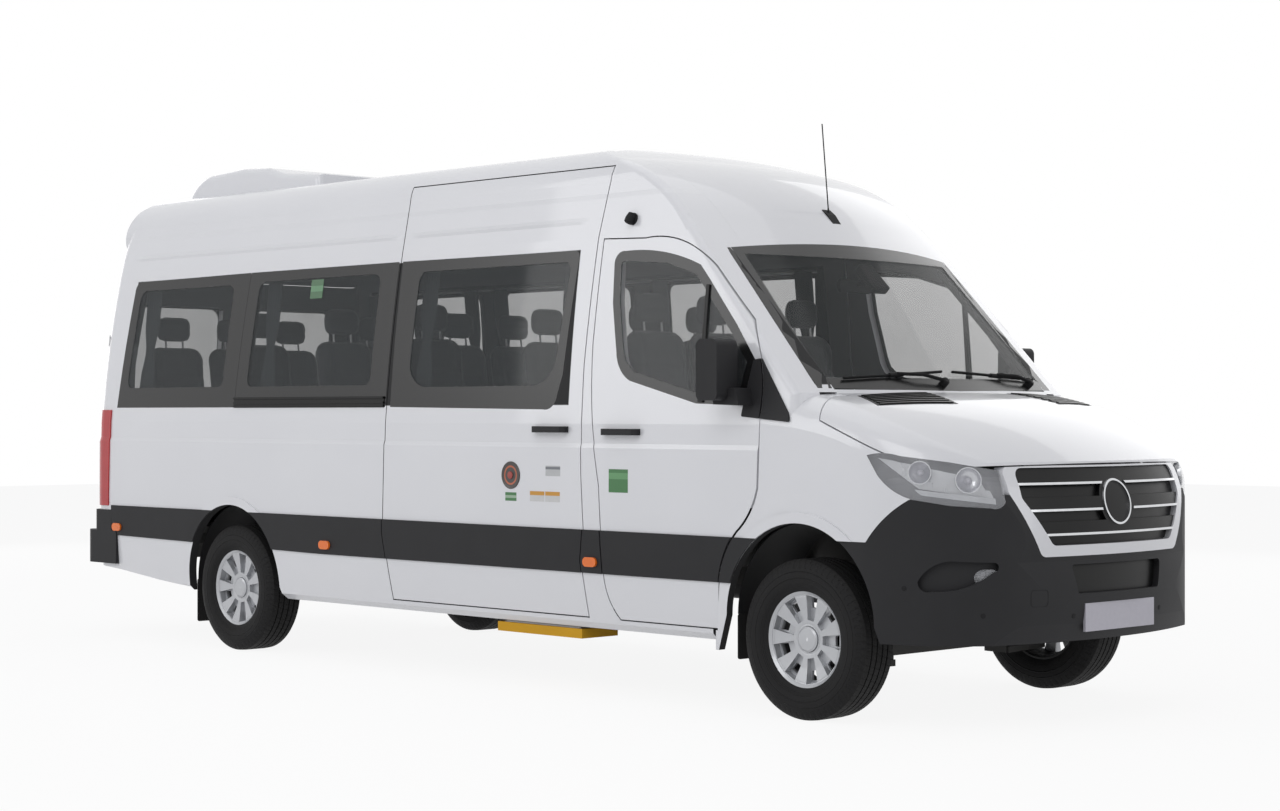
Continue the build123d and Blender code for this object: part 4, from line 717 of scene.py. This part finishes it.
def seat_pads():
    """Foam cushions, backs and headrests in sewn cloth, one set for each seat."""
    forms = (
        # name, wide, tall, thick, corner radius, channels, how its points go on a seat, node it replaces
        ("cushion", SEAT_WIDTH - 0.014, SEAT_DEPTH - 0.014, CUSHION_THICK - 0.020, 0.060,
         ((0, -0.125), (0, 0.125), (1, 0.060)), on_cushion, "seat_cushions"),
        ("back", SEAT_WIDTH - 0.024, BACK_HEIGHT - 0.014, BACK_THICK - 0.010, 0.085,
         ((0, -0.120), (0, 0.120), (1, -0.120), (1, 0.120)), on_back, "seat_backs"),
        ("headrest", HEADREST_WIDTH - 0.010, HEADREST_HIGH - HEADREST_LOW - 0.008, 0.058, 0.050,
         ((1, 0.0),), on_headrest, "seat_backs"),
    )
    for name, wide, tall, thick, radius, channels, place, node in forms:
        pad = stuffed(name + "_form", wide, tall, thick, radius, 0.012)
        sew(pad, channels)
        points = [corner.co.copy() for corner in pad.data.vertices]
        faces = [tuple(face.vertices) for face in pad.data.polygons]
        bpy.data.objects.remove(pad)
        for group, seats in (("cab", CAB_SEATS), ("coach", SEATS[len(CAB_SEATS):])):
            shape = Shape()
            for seat_x, seat_y in seats:
                shape.add([place(point, seat_x, seat_y) for point in points], faces)
            piece = shape.become(f"{group}_{name}s", seat_fabric, "seat_fabric")
            piece.modifiers.clear()
            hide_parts(node)


def on_cushion(point, seat_x, seat_y):
    return (seat_x + point.y, seat_y + point.x, CUSHION_TOP - CUSHION_THICK / 2 + point.z)


def on_back(point, seat_x, seat_y):
    up = point.y + BACK_HEIGHT / 2
    behind = seat_x - SEAT_DEPTH / 2 + 0.045 - BACK_LEAN * up / BACK_HEIGHT
    return (behind + point.z, seat_y - point.x, CUSHION_TOP + up)


def on_headrest(point, seat_x, seat_y):
    middle = (HEADREST_LOW + HEADREST_HIGH) / 2
    return (seat_x - SEAT_DEPTH / 2 - 0.050 + point.z, seat_y - point.x, CUSHION_TOP + middle + point.y)


def headrest_posts():
    """Two steel posts carry each headrest."""
    shape = Shape()
    for seat_x, seat_y in SEATS:
        rear_x = seat_x - SEAT_DEPTH / 2
        for y in (seat_y - 0.06, seat_y + 0.06):
            foot = (rear_x - 0.036, y, CUSHION_TOP + BACK_HEIGHT - 0.06)
            head = (rear_x - 0.050, y, CUSHION_TOP + HEADREST_LOW + 0.05)
            shape.tube([foot, head], 0.006)
    shape.become("headrest_posts", tread_silver, "seat_metal")


# ---- curtains
CURTAIN_TOP, CURTAIN_FOOT, CURTAIN_TIE = 2.115, 1.44, 1.72
CURTAIN_SPANS = (
    (-2.95, -2.8), (-1.985, -1.85), (-1.7, -1.57),
    (-0.68, -0.545), (-0.3, -0.175), (0.8, 0.93),
)
WALL_PROBE_X = -1.815


def curtains():
    """Gathered curtains beside every pane, tied at their waist and hung from rails on the wall."""
    for name, side in SIDES:
        wall = Skin(f"side_panel_{name}")
        top, foot = (wall.meet((WALL_PROBE_X, 0, height), (0, side, 0))[0].y
                     for height in (CURTAIN_TOP, CURTAIN_FOOT))
        ends = CURTAIN_SPANS[0][0] - 0.02, CURTAIN_SPANS[-1][1] + 0.02
        rail = Shape().tube([(x, top - side * 0.006, CURTAIN_TOP) for x in ends], 0.008)
        rail.become(f"curtain_rail_{name}", tread_silver, "seat_metal")
        for number, (start, end) in enumerate(CURTAIN_SPANS, 1):
            hang_curtain(f"curtain_{name}_{number}", side, start, end, top, foot)


def hang_curtain(name, side, start, end, top, foot, rows=18, columns=72, pleats=6, fold=0.014):
    points = []
    for row in range(rows + 1):
        down = row / rows
        height = CURTAIN_TOP - down * (CURTAIN_TOP - CURTAIN_FOOT)
        wall_y = top + (foot - top) * down - side * 0.03
        waist = exp(-((height - CURTAIN_TIE) / 0.1) ** 2)
        middle, width = (start + end) / 2, (end - start) * (1 - 0.45 * waist)
        for column in range(columns + 1):
            share = column / columns
            x = middle + (share - 0.5) * width
            points.append((x, wall_y + fold * (1 - 0.3 * waist) * sin(2 * pi * pleats * share), height))
    piece = Shape().add(points, grid(rows, columns)).become(name, curtain_cloth, "seat_fabric")
    piece.modifiers.clear()


# ---- printed plates
BADGE_MIDDLE = (0.581, 1.044)
BADGE_PROFILE = (  # height over the door, radius
    (-0.002, 0.068), (0.003, 0.068), (0.005, 0.066), (0.005, 0.058), (0.003, 0.055),
    (0.003, 0.02), (0.008, 0.018), (0.009, 0.0),
)


def printed_plates():
    """Blank plates on the sliding door, the front door and the middle window, all on the right side."""
    door, front, window = Skin("sliding_door"), Skin("front_door_right"), Skin("side_windows")
    green, white, orange = (0.035, 0.17, 0.045), (0.62, 0.62, 0.62), (0.55, 0.26, 0.02)
    light_green, mid_green, tinted_green = (0.3, 0.42, 0.3), (0.1, 0.28, 0.11), (0.1, 0.24, 0.12)
    grey, dark_grey, deep_green = (0.5, 0.51, 0.52), (0.16, 0.17, 0.19), (0.05, 0.14, 0.06)
    plates = (  # name, skin, middle x and z, width, height, ground and band colour, band's z low and high
        ("green_small", door, 0.581, 0.938, 0.083, 0.042, green, light_green, 0.932, 0.944),
        ("grey", door, 0.89, 1.07, 0.105, 0.05, grey, dark_grey, 1.078, 1.089),
        ("yellow_rear", door, 0.776, 0.944, 0.105, 0.05, white, orange, 0.95, 0.968),
        ("yellow_front", door, 0.888, 0.944, 0.105, 0.05, white, orange, 0.95, 0.968),
        ("green_door", front, 1.35, 1.031, 0.13, 0.11, green, mid_green, 1.04, 1.068),
        ("green_window", window, -1.13, 2.033, 0.11, 0.105, deep_green, tinted_green, 2.02, 2.05),
    )
    for name, skin, x, z, width, height, ground, band, low, high in plates:
        name, body = f"plate_{name}", "front_door_right" if skin is front else "body"
        field = side_field((x - width / 2, z - height / 2), (x + width / 2, z + height / 2))
        shape = Shape().plate(skin, *field, 0.0008)
        shape.become(name, printed(name, ground, band, low, high), body=body)
    badge = Shape().turned(*door.from_side(*BADGE_MIDDLE), BADGE_PROFILE, 64)
    badge.become("round_badge", badge_print(*BADGE_MIDDLE))


# ---- front of the vehicle
VENT_CORNERS = ((2.6, 0.742, 3.0), (2.634, 0.298, 3.0), (2.878, 0.383, 3.0), (2.765, 0.8, 3.0))
VENT_SLATS, SLAT_INSET = 7, 0.04


def bonnet_vents():
    """Black louvred inlays in the bonnet's rear corners."""
    skin = Skin("bonnet")
    for name, side in SIDES:
        a, b, c, d = (Vector(corner) for corner in mirrored(VENT_CORNERS, side))
        shape = Shape().plate(skin, (0, 0, -1), (a, b, c, d), 0.0015, 0.003, (16, 6))

        def rung(share):
            """Both ends of a line across the inlay, a little inside its edges."""
            one, other = a.lerp(d, share), b.lerp(c, share)
            return one.lerp(other, SLAT_INSET), other.lerp(one, SLAT_INSET)

        for slat in range(VENT_SLATS):
            low, high = rung((slat + 0.25) / VENT_SLATS), rung((slat + 0.7) / VENT_SLATS)
            shape.plate(skin, (0, 0, -1), (*low, *reversed(high)), 0.006, 0.001, (16, 1))
        shape.become(f"bonnet_vent_{name}", gloss_black, "grille_black", "bonnet", smooth=False)


LAMP_AIM = (-0.62, -0.78, 0.0)  # towards the left lamp from outside, seen square on
LAMP_FIELD = ((2.9, 0.995, 1.16), (3.3, 0.738, 1.086), (3.343, 0.706, 0.985), (3.09, 0.935, 1.03))
LAMP_STRIP = ((3.08, 0.94, 1.028), (3.336, 0.712, 0.992), (3.338, 0.708, 0.966), (3.105, 0.925, 1.004))
LAMP_BOWLS = (((3.1, 0.93, 1.1), 0.05), ((3.262, 0.8, 1.07), 0.056))  # middle of the mouth, depth
BULB_PROFILE = ((0.004, 0.0), (0.005, 0.008), (0.012, 0.012), (0.028, 0.012), (0.03, 0.0))


def headlamp_insides():
    """A bright housing with two round bowls, and the fluted strip along the foot, inside each lens."""
    skin = Skin("headlamps")
    for name, side in SIDES:
        aim = Vector(mirrored([LAMP_AIM], side)[0]).normalized()

        def outside(points):
            return [Vector(point) - aim * 0.5 for point in mirrored(points, side)]

        housing = Shape().plate(skin, aim, outside(LAMP_FIELD), -0.044, 0.047, (20, 8))
        housing.become(f"lamp_housing_{name}", lamp_grey, "silver_wheel")
        bowls, bulbs = Shape(), Shape()
        for centre, reach in LAMP_BOWLS:
            place, normal = skin.meet(outside([centre])[0], aim)
            mouth = place - normal * 0.01
            bowl = [(0.036, 0.001), (0.034, reach * 0.6), (0.018, reach * 0.95), (0.0, reach),
                    (0.0, reach - 0.004), (0.012, reach * 0.8), (0.022, reach * 0.55),
                    (0.028, reach * 0.25), (0.03, 0.001)]
            bowls.turned(mouth, -normal, bowl, 48)
            bulbs.turned(mouth, -normal, BULB_PROFILE, 24)
        bowls.become(f"lamp_bowls_{name}", reflector, "chrome_trim")
        bulbs.become(f"lamp_bulbs_{name}", plate_silver, "chrome_trim")
        strip = Shape().plate(skin, aim, outside(LAMP_STRIP), -0.006, 0.012, (24, 3))
        strip.become(f"lamp_strip_{name}", flutes, "clear_lens")


SENSOR_FRONT, SENSOR_SIDE = ((0.76, 0.499), (0.325, 0.482)), (3.041, 0.611)
COVER_MIDDLE, COVER_WIDTH, COVER_HEIGHT, COVER_CORNER = (-0.524, 0.566), 0.088, 0.07, 0.014


def bumper_details():
    """Parking sensors on both sides and the seam of the tow-eye cover."""
    skin = Skin("front_bumper")
    knob = [(-0.003, 0.011), (0.0012, 0.011), (0.0018, 0.009), (0.0018, 0.0)]
    sensors = Shape()
    for _, side in SIDES:
        for y, z in SENSOR_FRONT:
            sensors.turned(*skin.from_front(y * side, z), knob, 28)
        sensors.turned(*skin.from_side(*SENSOR_SIDE, side), knob, 28)
    sensors.become("parking_sensors", dark)
    seam = [skin.from_front(COVER_MIDDLE[0] + across, COVER_MIDDLE[1] + up)[0]
            for across, up in rounded_outline(COVER_WIDTH, COVER_HEIGHT, COVER_CORNER)]
    Shape().ring(seam, 0.0013, 6).become("tow_cover_seam", dark)


CORE_BACK, CORE_FRONT, CORE_HALF = 3.27, 3.3, 0.325
CORE_FOOT, CORE_TOP, FIN_DEPTH, FINS = 0.56, 0.76, 0.012, 46


def radiator():
    """The cooling pack behind the lower intake, with fine upright fins on its front."""
    core = Shape().box((CORE_BACK, -CORE_HALF, CORE_FOOT), (CORE_FRONT, CORE_HALF, CORE_TOP))
    fins = Shape()
    for index in range(FINS):
        y = -CORE_HALF + (index + 0.5) * 2 * CORE_HALF / FINS
        fins.box((CORE_FRONT, y - 0.0015, CORE_FOOT + 0.002),
                 (CORE_FRONT + FIN_DEPTH, y + 0.0015, CORE_TOP - 0.002))
    core.become("radiator_core", dark, "frame_black", smooth=False)
    fins.become("radiator_fins", tread_silver, "frame_black", smooth=False)


# ---- screen
WIPERS = (  # name, pivot y, blade's inner y, blade's outer y, blade height at both ends
    ("left", 0.64, 0.02, 0.7, 1.535, 1.505),
    ("right", -0.09, -0.7, -0.06, 1.5, 1.535),
)
WIPER_FOOT_Z, BLADE_STEPS, BLADE_STAND = 1.486, 14, 0.012
PIVOT_PROFILE = ((-0.004, 0.02), (0.022, 0.02), (0.03, 0.014), (0.03, 0.0))


def wipers():
    """Two parked wipers, each with its pivot, sprung arm and rubber blade."""
    skin = Skin("windshield")
    for name, pivot_y, start_y, end_y, start_z, end_z in WIPERS:
        blade_path = []
        for step in range(BLADE_STEPS + 1):
            share = step / BLADE_STEPS
            y, z = start_y + (end_y - start_y) * share, start_z + (end_z - start_z) * share
            place, normal = skin.from_front(y, z)
            blade_path.append(place + normal * BLADE_STAND)
        shape = Shape().tube(blade_path, 0.008, 8, 0.7)
        foot, normal = skin.from_front(pivot_y, WIPER_FOOT_Z)
        shape.turned(foot, normal, PIVOT_PROFILE, 24)
        half = BLADE_STEPS // 2
        middle = blade_path[half]
        elbow = foot.lerp(middle, 0.5) + normal * 0.032
        shape.tube([foot + normal * 0.022, elbow, middle + normal * 0.008], 0.01, 8, 0.6)
        shape.tube(blade_path[half - 1:half + 2], 0.012, 8, 0.8)
        shape.become(f"wiper_{name}", dark)


CAMERA_HOUSING = ((1.0, -0.06, 1.95), (1.0, 0.06, 1.95), (1.0, 0.045, 2.07), (1.0, -0.045, 2.07))
MIRROR_WIDTH, MIRROR_HEIGHT, MIRROR_CORNER = 0.245, 0.07, 0.03
MIRROR_PROFILE = ((-0.016, 0.86), (-0.01, 1.0), (0.008, 1.0), (0.018, 0.8))  # place along X, size


def inside_mirror():
    """Rear-view mirror and camera housing behind the top of the screen."""
    skin = Skin("windshield")
    inside, normal = skin.meet((1.0, 0.0, 2.01), (1, 0, 0))
    housing = Shape().plate(skin, (1, 0, 0), CAMERA_HOUSING, 0.045, 0.0005, (6, 6))
    housing.become("camera_housing", dark, round_off=0.008)
    centre = inside + Vector((-0.12, 0.0, -0.045))
    outline = rounded_outline(MIRROR_WIDTH, MIRROR_HEIGHT, MIRROR_CORNER)
    body = Shape().loft([[(centre.x + along, centre.y + across * share, centre.z + up * share)
                          for across, up in outline] for along, share in MIRROR_PROFILE])
    body.tube([inside + normal * 0.03, centre + Vector((0.015, 0, 0.004))], 0.008)
    body.become("inside_mirror", dark)


# ---- front doors
BAR_FIELD = ((1.864, 1.4), (1.896, 1.4), (1.89, 1.94), (1.87, 1.94))  # x and z
MIRROR_LOW, MIRROR_HIGH = (1.052, 1.475), (1.16, 1.65)  # y and z of opposite corners


def door_fittings():
    """The bar between each door's two panes and the glass of its mirror."""
    for name, side in SIDES:
        body = f"front_door_{name}"
        corners = [(x, FAR_SIDE * side, z) for x, z in BAR_FIELD]
        bar = Shape().plate(Skin(f"front_door_glass_{name}"), (0, -side, 0), corners, 0.009, 0.012, (2, 10))
        bar.become(f"pane_bar_{name}", gloss_black, body=body, round_off=0.002)
        field = forward_field(0.5, *((y * side, z) for y, z in (MIRROR_LOW, MIRROR_HIGH)))
        face = Shape().plate(Skin(f"front_door_trim_{name}"), *field, 0.0015, 0.002, (4, 6))
        face.become(f"mirror_glass_{name}", chrome, "chrome_trim", body)


# ---- right side and roof
RAIL_REAR, RAIL_FRONT = -1.826, -0.452
RAIL_STRIPS = (  # z low and high, height over the side: the cover, then its three ribs
    (1.381, 1.44, 0.004), (1.386, 1.394, 0.009), (1.402, 1.412, 0.01), (1.428, 1.438, 0.012),
)


def slide_rail():
    """The ribbed cover over the sliding door's rail, below the middle window."""
    skin = Skin("side_windows", "side_panel_right")
    shape = Shape()
    for low, high, rise in RAIL_STRIPS:
        shape.plate(skin, *side_field((RAIL_REAR, low), (RAIL_FRONT, high)), rise, 0.001, (20, 1))
    shape.become("slide_rail_cover", gloss_black, smooth=False)


SIDE_CAMERA = (1.33, 2.275)  # x and z
FOOT_PROFILE = ((-0.003, 0.03), (0.006, 0.03), (0.01, 0.02), (0.016, 0.018), (0.018, 0.0))
EYE_PROFILE = ((0.0, 0.01), (0.004, 0.02), (0.03, 0.024), (0.05, 0.022), (0.054, 0.016), (0.05, 0.0))


def side_camera():
    """A small black camera on a foot, above the right front door."""
    place, normal = Skin("roof_panel").from_side(*SIDE_CAMERA)
    shape = Shape().turned(place, normal, FOOT_PROFILE, 28)
    aim = Vector((-0.15, -0.45, -0.88)).normalized()
    shape.turned(place + normal * 0.02 - aim * 0.026, aim, EYE_PROFILE, 28)
    shape.become("side_camera", dark)


TREAD_RIBS, TREAD_THICK = 9, 0.003


def step_tread():
    """Ribbed metal tread on the entry step."""
    (rear, outer, _), (front, inner, _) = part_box("entry_step")
    top = Skin("entry_step").meet(((rear + front) / 2, (outer + inner) / 2 - 0.02, 0.4), (0, 0, -1))[0].z
    ribs_foot, ribs_top = top + TREAD_THICK, top + 2 * TREAD_THICK
    shape = Shape().box((rear + 0.03, outer + 0.02, top), (front - 0.03, inner - 0.05, ribs_foot))
    for index in range(TREAD_RIBS):
        y = outer + 0.03 + index * (inner - outer - 0.09) / (TREAD_RIBS - 1)
        shape.box((rear + 0.04, y - 0.004, ribs_foot), (front - 0.04, y + 0.004, ribs_top))
    shape.become("step_tread", tread_silver, "step_yellow", smooth=False)


HINGE_HEIGHTS = (0.75, 1.79)
HINGE_X, HINGE_LEAN, HINGE_Y = -3.312, 0.0192, 0.889
LEAF_INNER, LEAF_OUTER, LEAF_HALF = 0.9, 0.945, 0.028
BARREL_PROFILE = (
    (-0.04, 0.0), (-0.04, 0.01), (-0.036, 0.013), (0.036, 0.013), (0.04, 0.01), (0.04, 0.0),
)
HANDLE_LOW, HANDLE_MIDDLE, HANDLE_HIGH = (-0.21, 1.085), (-0.135, 1.11), (-0.06, 1.135)  # y and z
HANDLE_STEPS = 10


def rear_hinges():
    """Barrel hinges of the rear doors, each with a leaf on the corner of the body."""
    for name, side in SIDES:
        corner, barrels = Skin(f"side_panel_{name}", "tail_lamps"), Shape()
        for height in HINGE_HEIGHTS:
            centre = (HINGE_X + HINGE_LEAN * (height - 1.0), HINGE_Y * side, height)
            barrels.turned(centre, (HINGE_LEAN, 0, 1), BARREL_PROFILE, 24)
            field = forward_field(FAR_REAR, (LEAF_INNER * side, height - LEAF_HALF),
                                  (LEAF_OUTER * side, height + LEAF_HALF))
            barrels.plate(corner, *field, 0.006, 0.002, (4, 2))
        barrels.become(f"rear_hinges_{name}", tread_silver, "seat_metal")


def rear_handle():
    """A curved grip on a plate, on the right rear door."""
    door = Skin("rear_door_right")
    handle = Shape().plate(door, *forward_field(FAR_REAR, HANDLE_LOW, HANDLE_HIGH), 0.004, 0.002)
    place = door.meet((FAR_REAR, *HANDLE_MIDDLE), (1, 0, 0))[0]
    arch = [place + Vector((-0.002 - 0.03 * sin(pi * step / HANDLE_STEPS), -0.06 + 0.012 * step, 0))
            for step in range(HANDLE_STEPS + 1)]
    handle.tube(arch, 0.011, 10, 0.8)
    handle.become("rear_door_handle", trim, body="rear_door_right")


# ---- studio
LAMPS = (  # name, place, aim, width, watts
    ("key", (5.0, -10.0, 8.0), (0, 0, 1.2), 7.0, 345.0),
    ("side", (-6.0, -10.0, 5.0), (-1.0, 0, 1.0), 6.0, 225.0),
    ("front", (12.0, 1.0, 4.0), (2.0, 0, 1.0), 6.0, 115.0),
    ("top", (0.0, 0.0, 9.0), (0, 0, 0), 9.0, 140.0),
    ("far", (0.0, 10.0, 5.0), (0, 0, 1.0), 8.0, 160.0),
    ("rear", (-12.0, 2.0, 4.0), (-2.0, 0, 1.0), 6.0, 110.0),
)
FLOOR_HALF, FLOOR_GLOW = 30.0, 0.90
WHITE = (1.0, 1.0, 1.0)


def studio():
    """A white surround and floor for the camera over a softer world, lit by large lamps."""
    bpy.context.scene.world = bpy.data.worlds.new("studio")
    world = Nodes(bpy.context.scene.world)
    soft = world.tree.nodes["Background"]
    world.feed(soft.inputs["Color"], (0.95, 0.96, 1.0))
    world.feed(soft.inputs["Strength"], 0.38)
    white = world.node("ShaderNodeBackground", Color=WHITE, Strength=1.0)
    world.show(world.seen(), soft.outputs[0], white.outputs[0], "World Output")

    ground = Finish("studio_white", Roughness=1.0, Base_Color=(0.9, 0.9, 0.9))
    glow = ground.node("ShaderNodeEmission", Color=WHITE, Strength=1.0)
    ground.show(ground.seen() * FLOOR_GLOW, ground.shader.outputs[0], glow.outputs[0], "Material Output")
    corners = rectangle((-FLOOR_HALF, -FLOOR_HALF), (FLOOR_HALF, FLOOR_HALF))
    floor = meshed("studio_floor", [(x, y, 0) for x, y in corners], [(0, 1, 2, 3)])
    ground.on(floor)

    for name, place, aim, width, watts in LAMPS:
        data = bpy.data.lights.new(name, "AREA")
        data.size, data.energy = width, watts
        lamp = linked(name, data)
        lamp.location = place
        lamp.rotation_euler = (Vector(aim) - Vector(place)).to_track_quat("-Z", "Y").to_euler()


PICTURE_WIDTH, PICTURE_HEIGHT = 1280.0, 811.0
FOCAL_PIXELS, CENTRE_PIXELS = 2361.668, (639.277, 410.125)
EYE, EYE_TURN, EYE_TIP = (9.405717, -8.712981, 1.351735), 45.7709, -0.0688


def camera():
    """A long lens at eye height, off the right front corner."""
    data = bpy.data.cameras.new("view")
    data.sensor_width = 36.0
    data.lens = data.sensor_width * FOCAL_PIXELS / PICTURE_WIDTH
    data.shift_x = -(CENTRE_PIXELS[0] - PICTURE_WIDTH / 2) / PICTURE_WIDTH
    data.shift_y = (CENTRE_PIXELS[1] - PICTURE_HEIGHT / 2) / PICTURE_WIDTH
    eye = linked("view", data)
    eye.location = EYE
    eye.rotation_euler = (pi / 2 - radians(EYE_TIP), 0.0, radians(EYE_TURN))
    bpy.context.scene.camera = eye


camera()
studio()
seat_pads()
headrest_posts()
curtains()
printed_plates()
bonnet_vents()
headlamp_insides()
bumper_details()
radiator()
wipers()
inside_mirror()
door_fittings()
slide_rail()
side_camera()
step_tread()
rear_hinges()
rear_handle()
bpy.context.scene.view_settings.view_transform = "Standard"
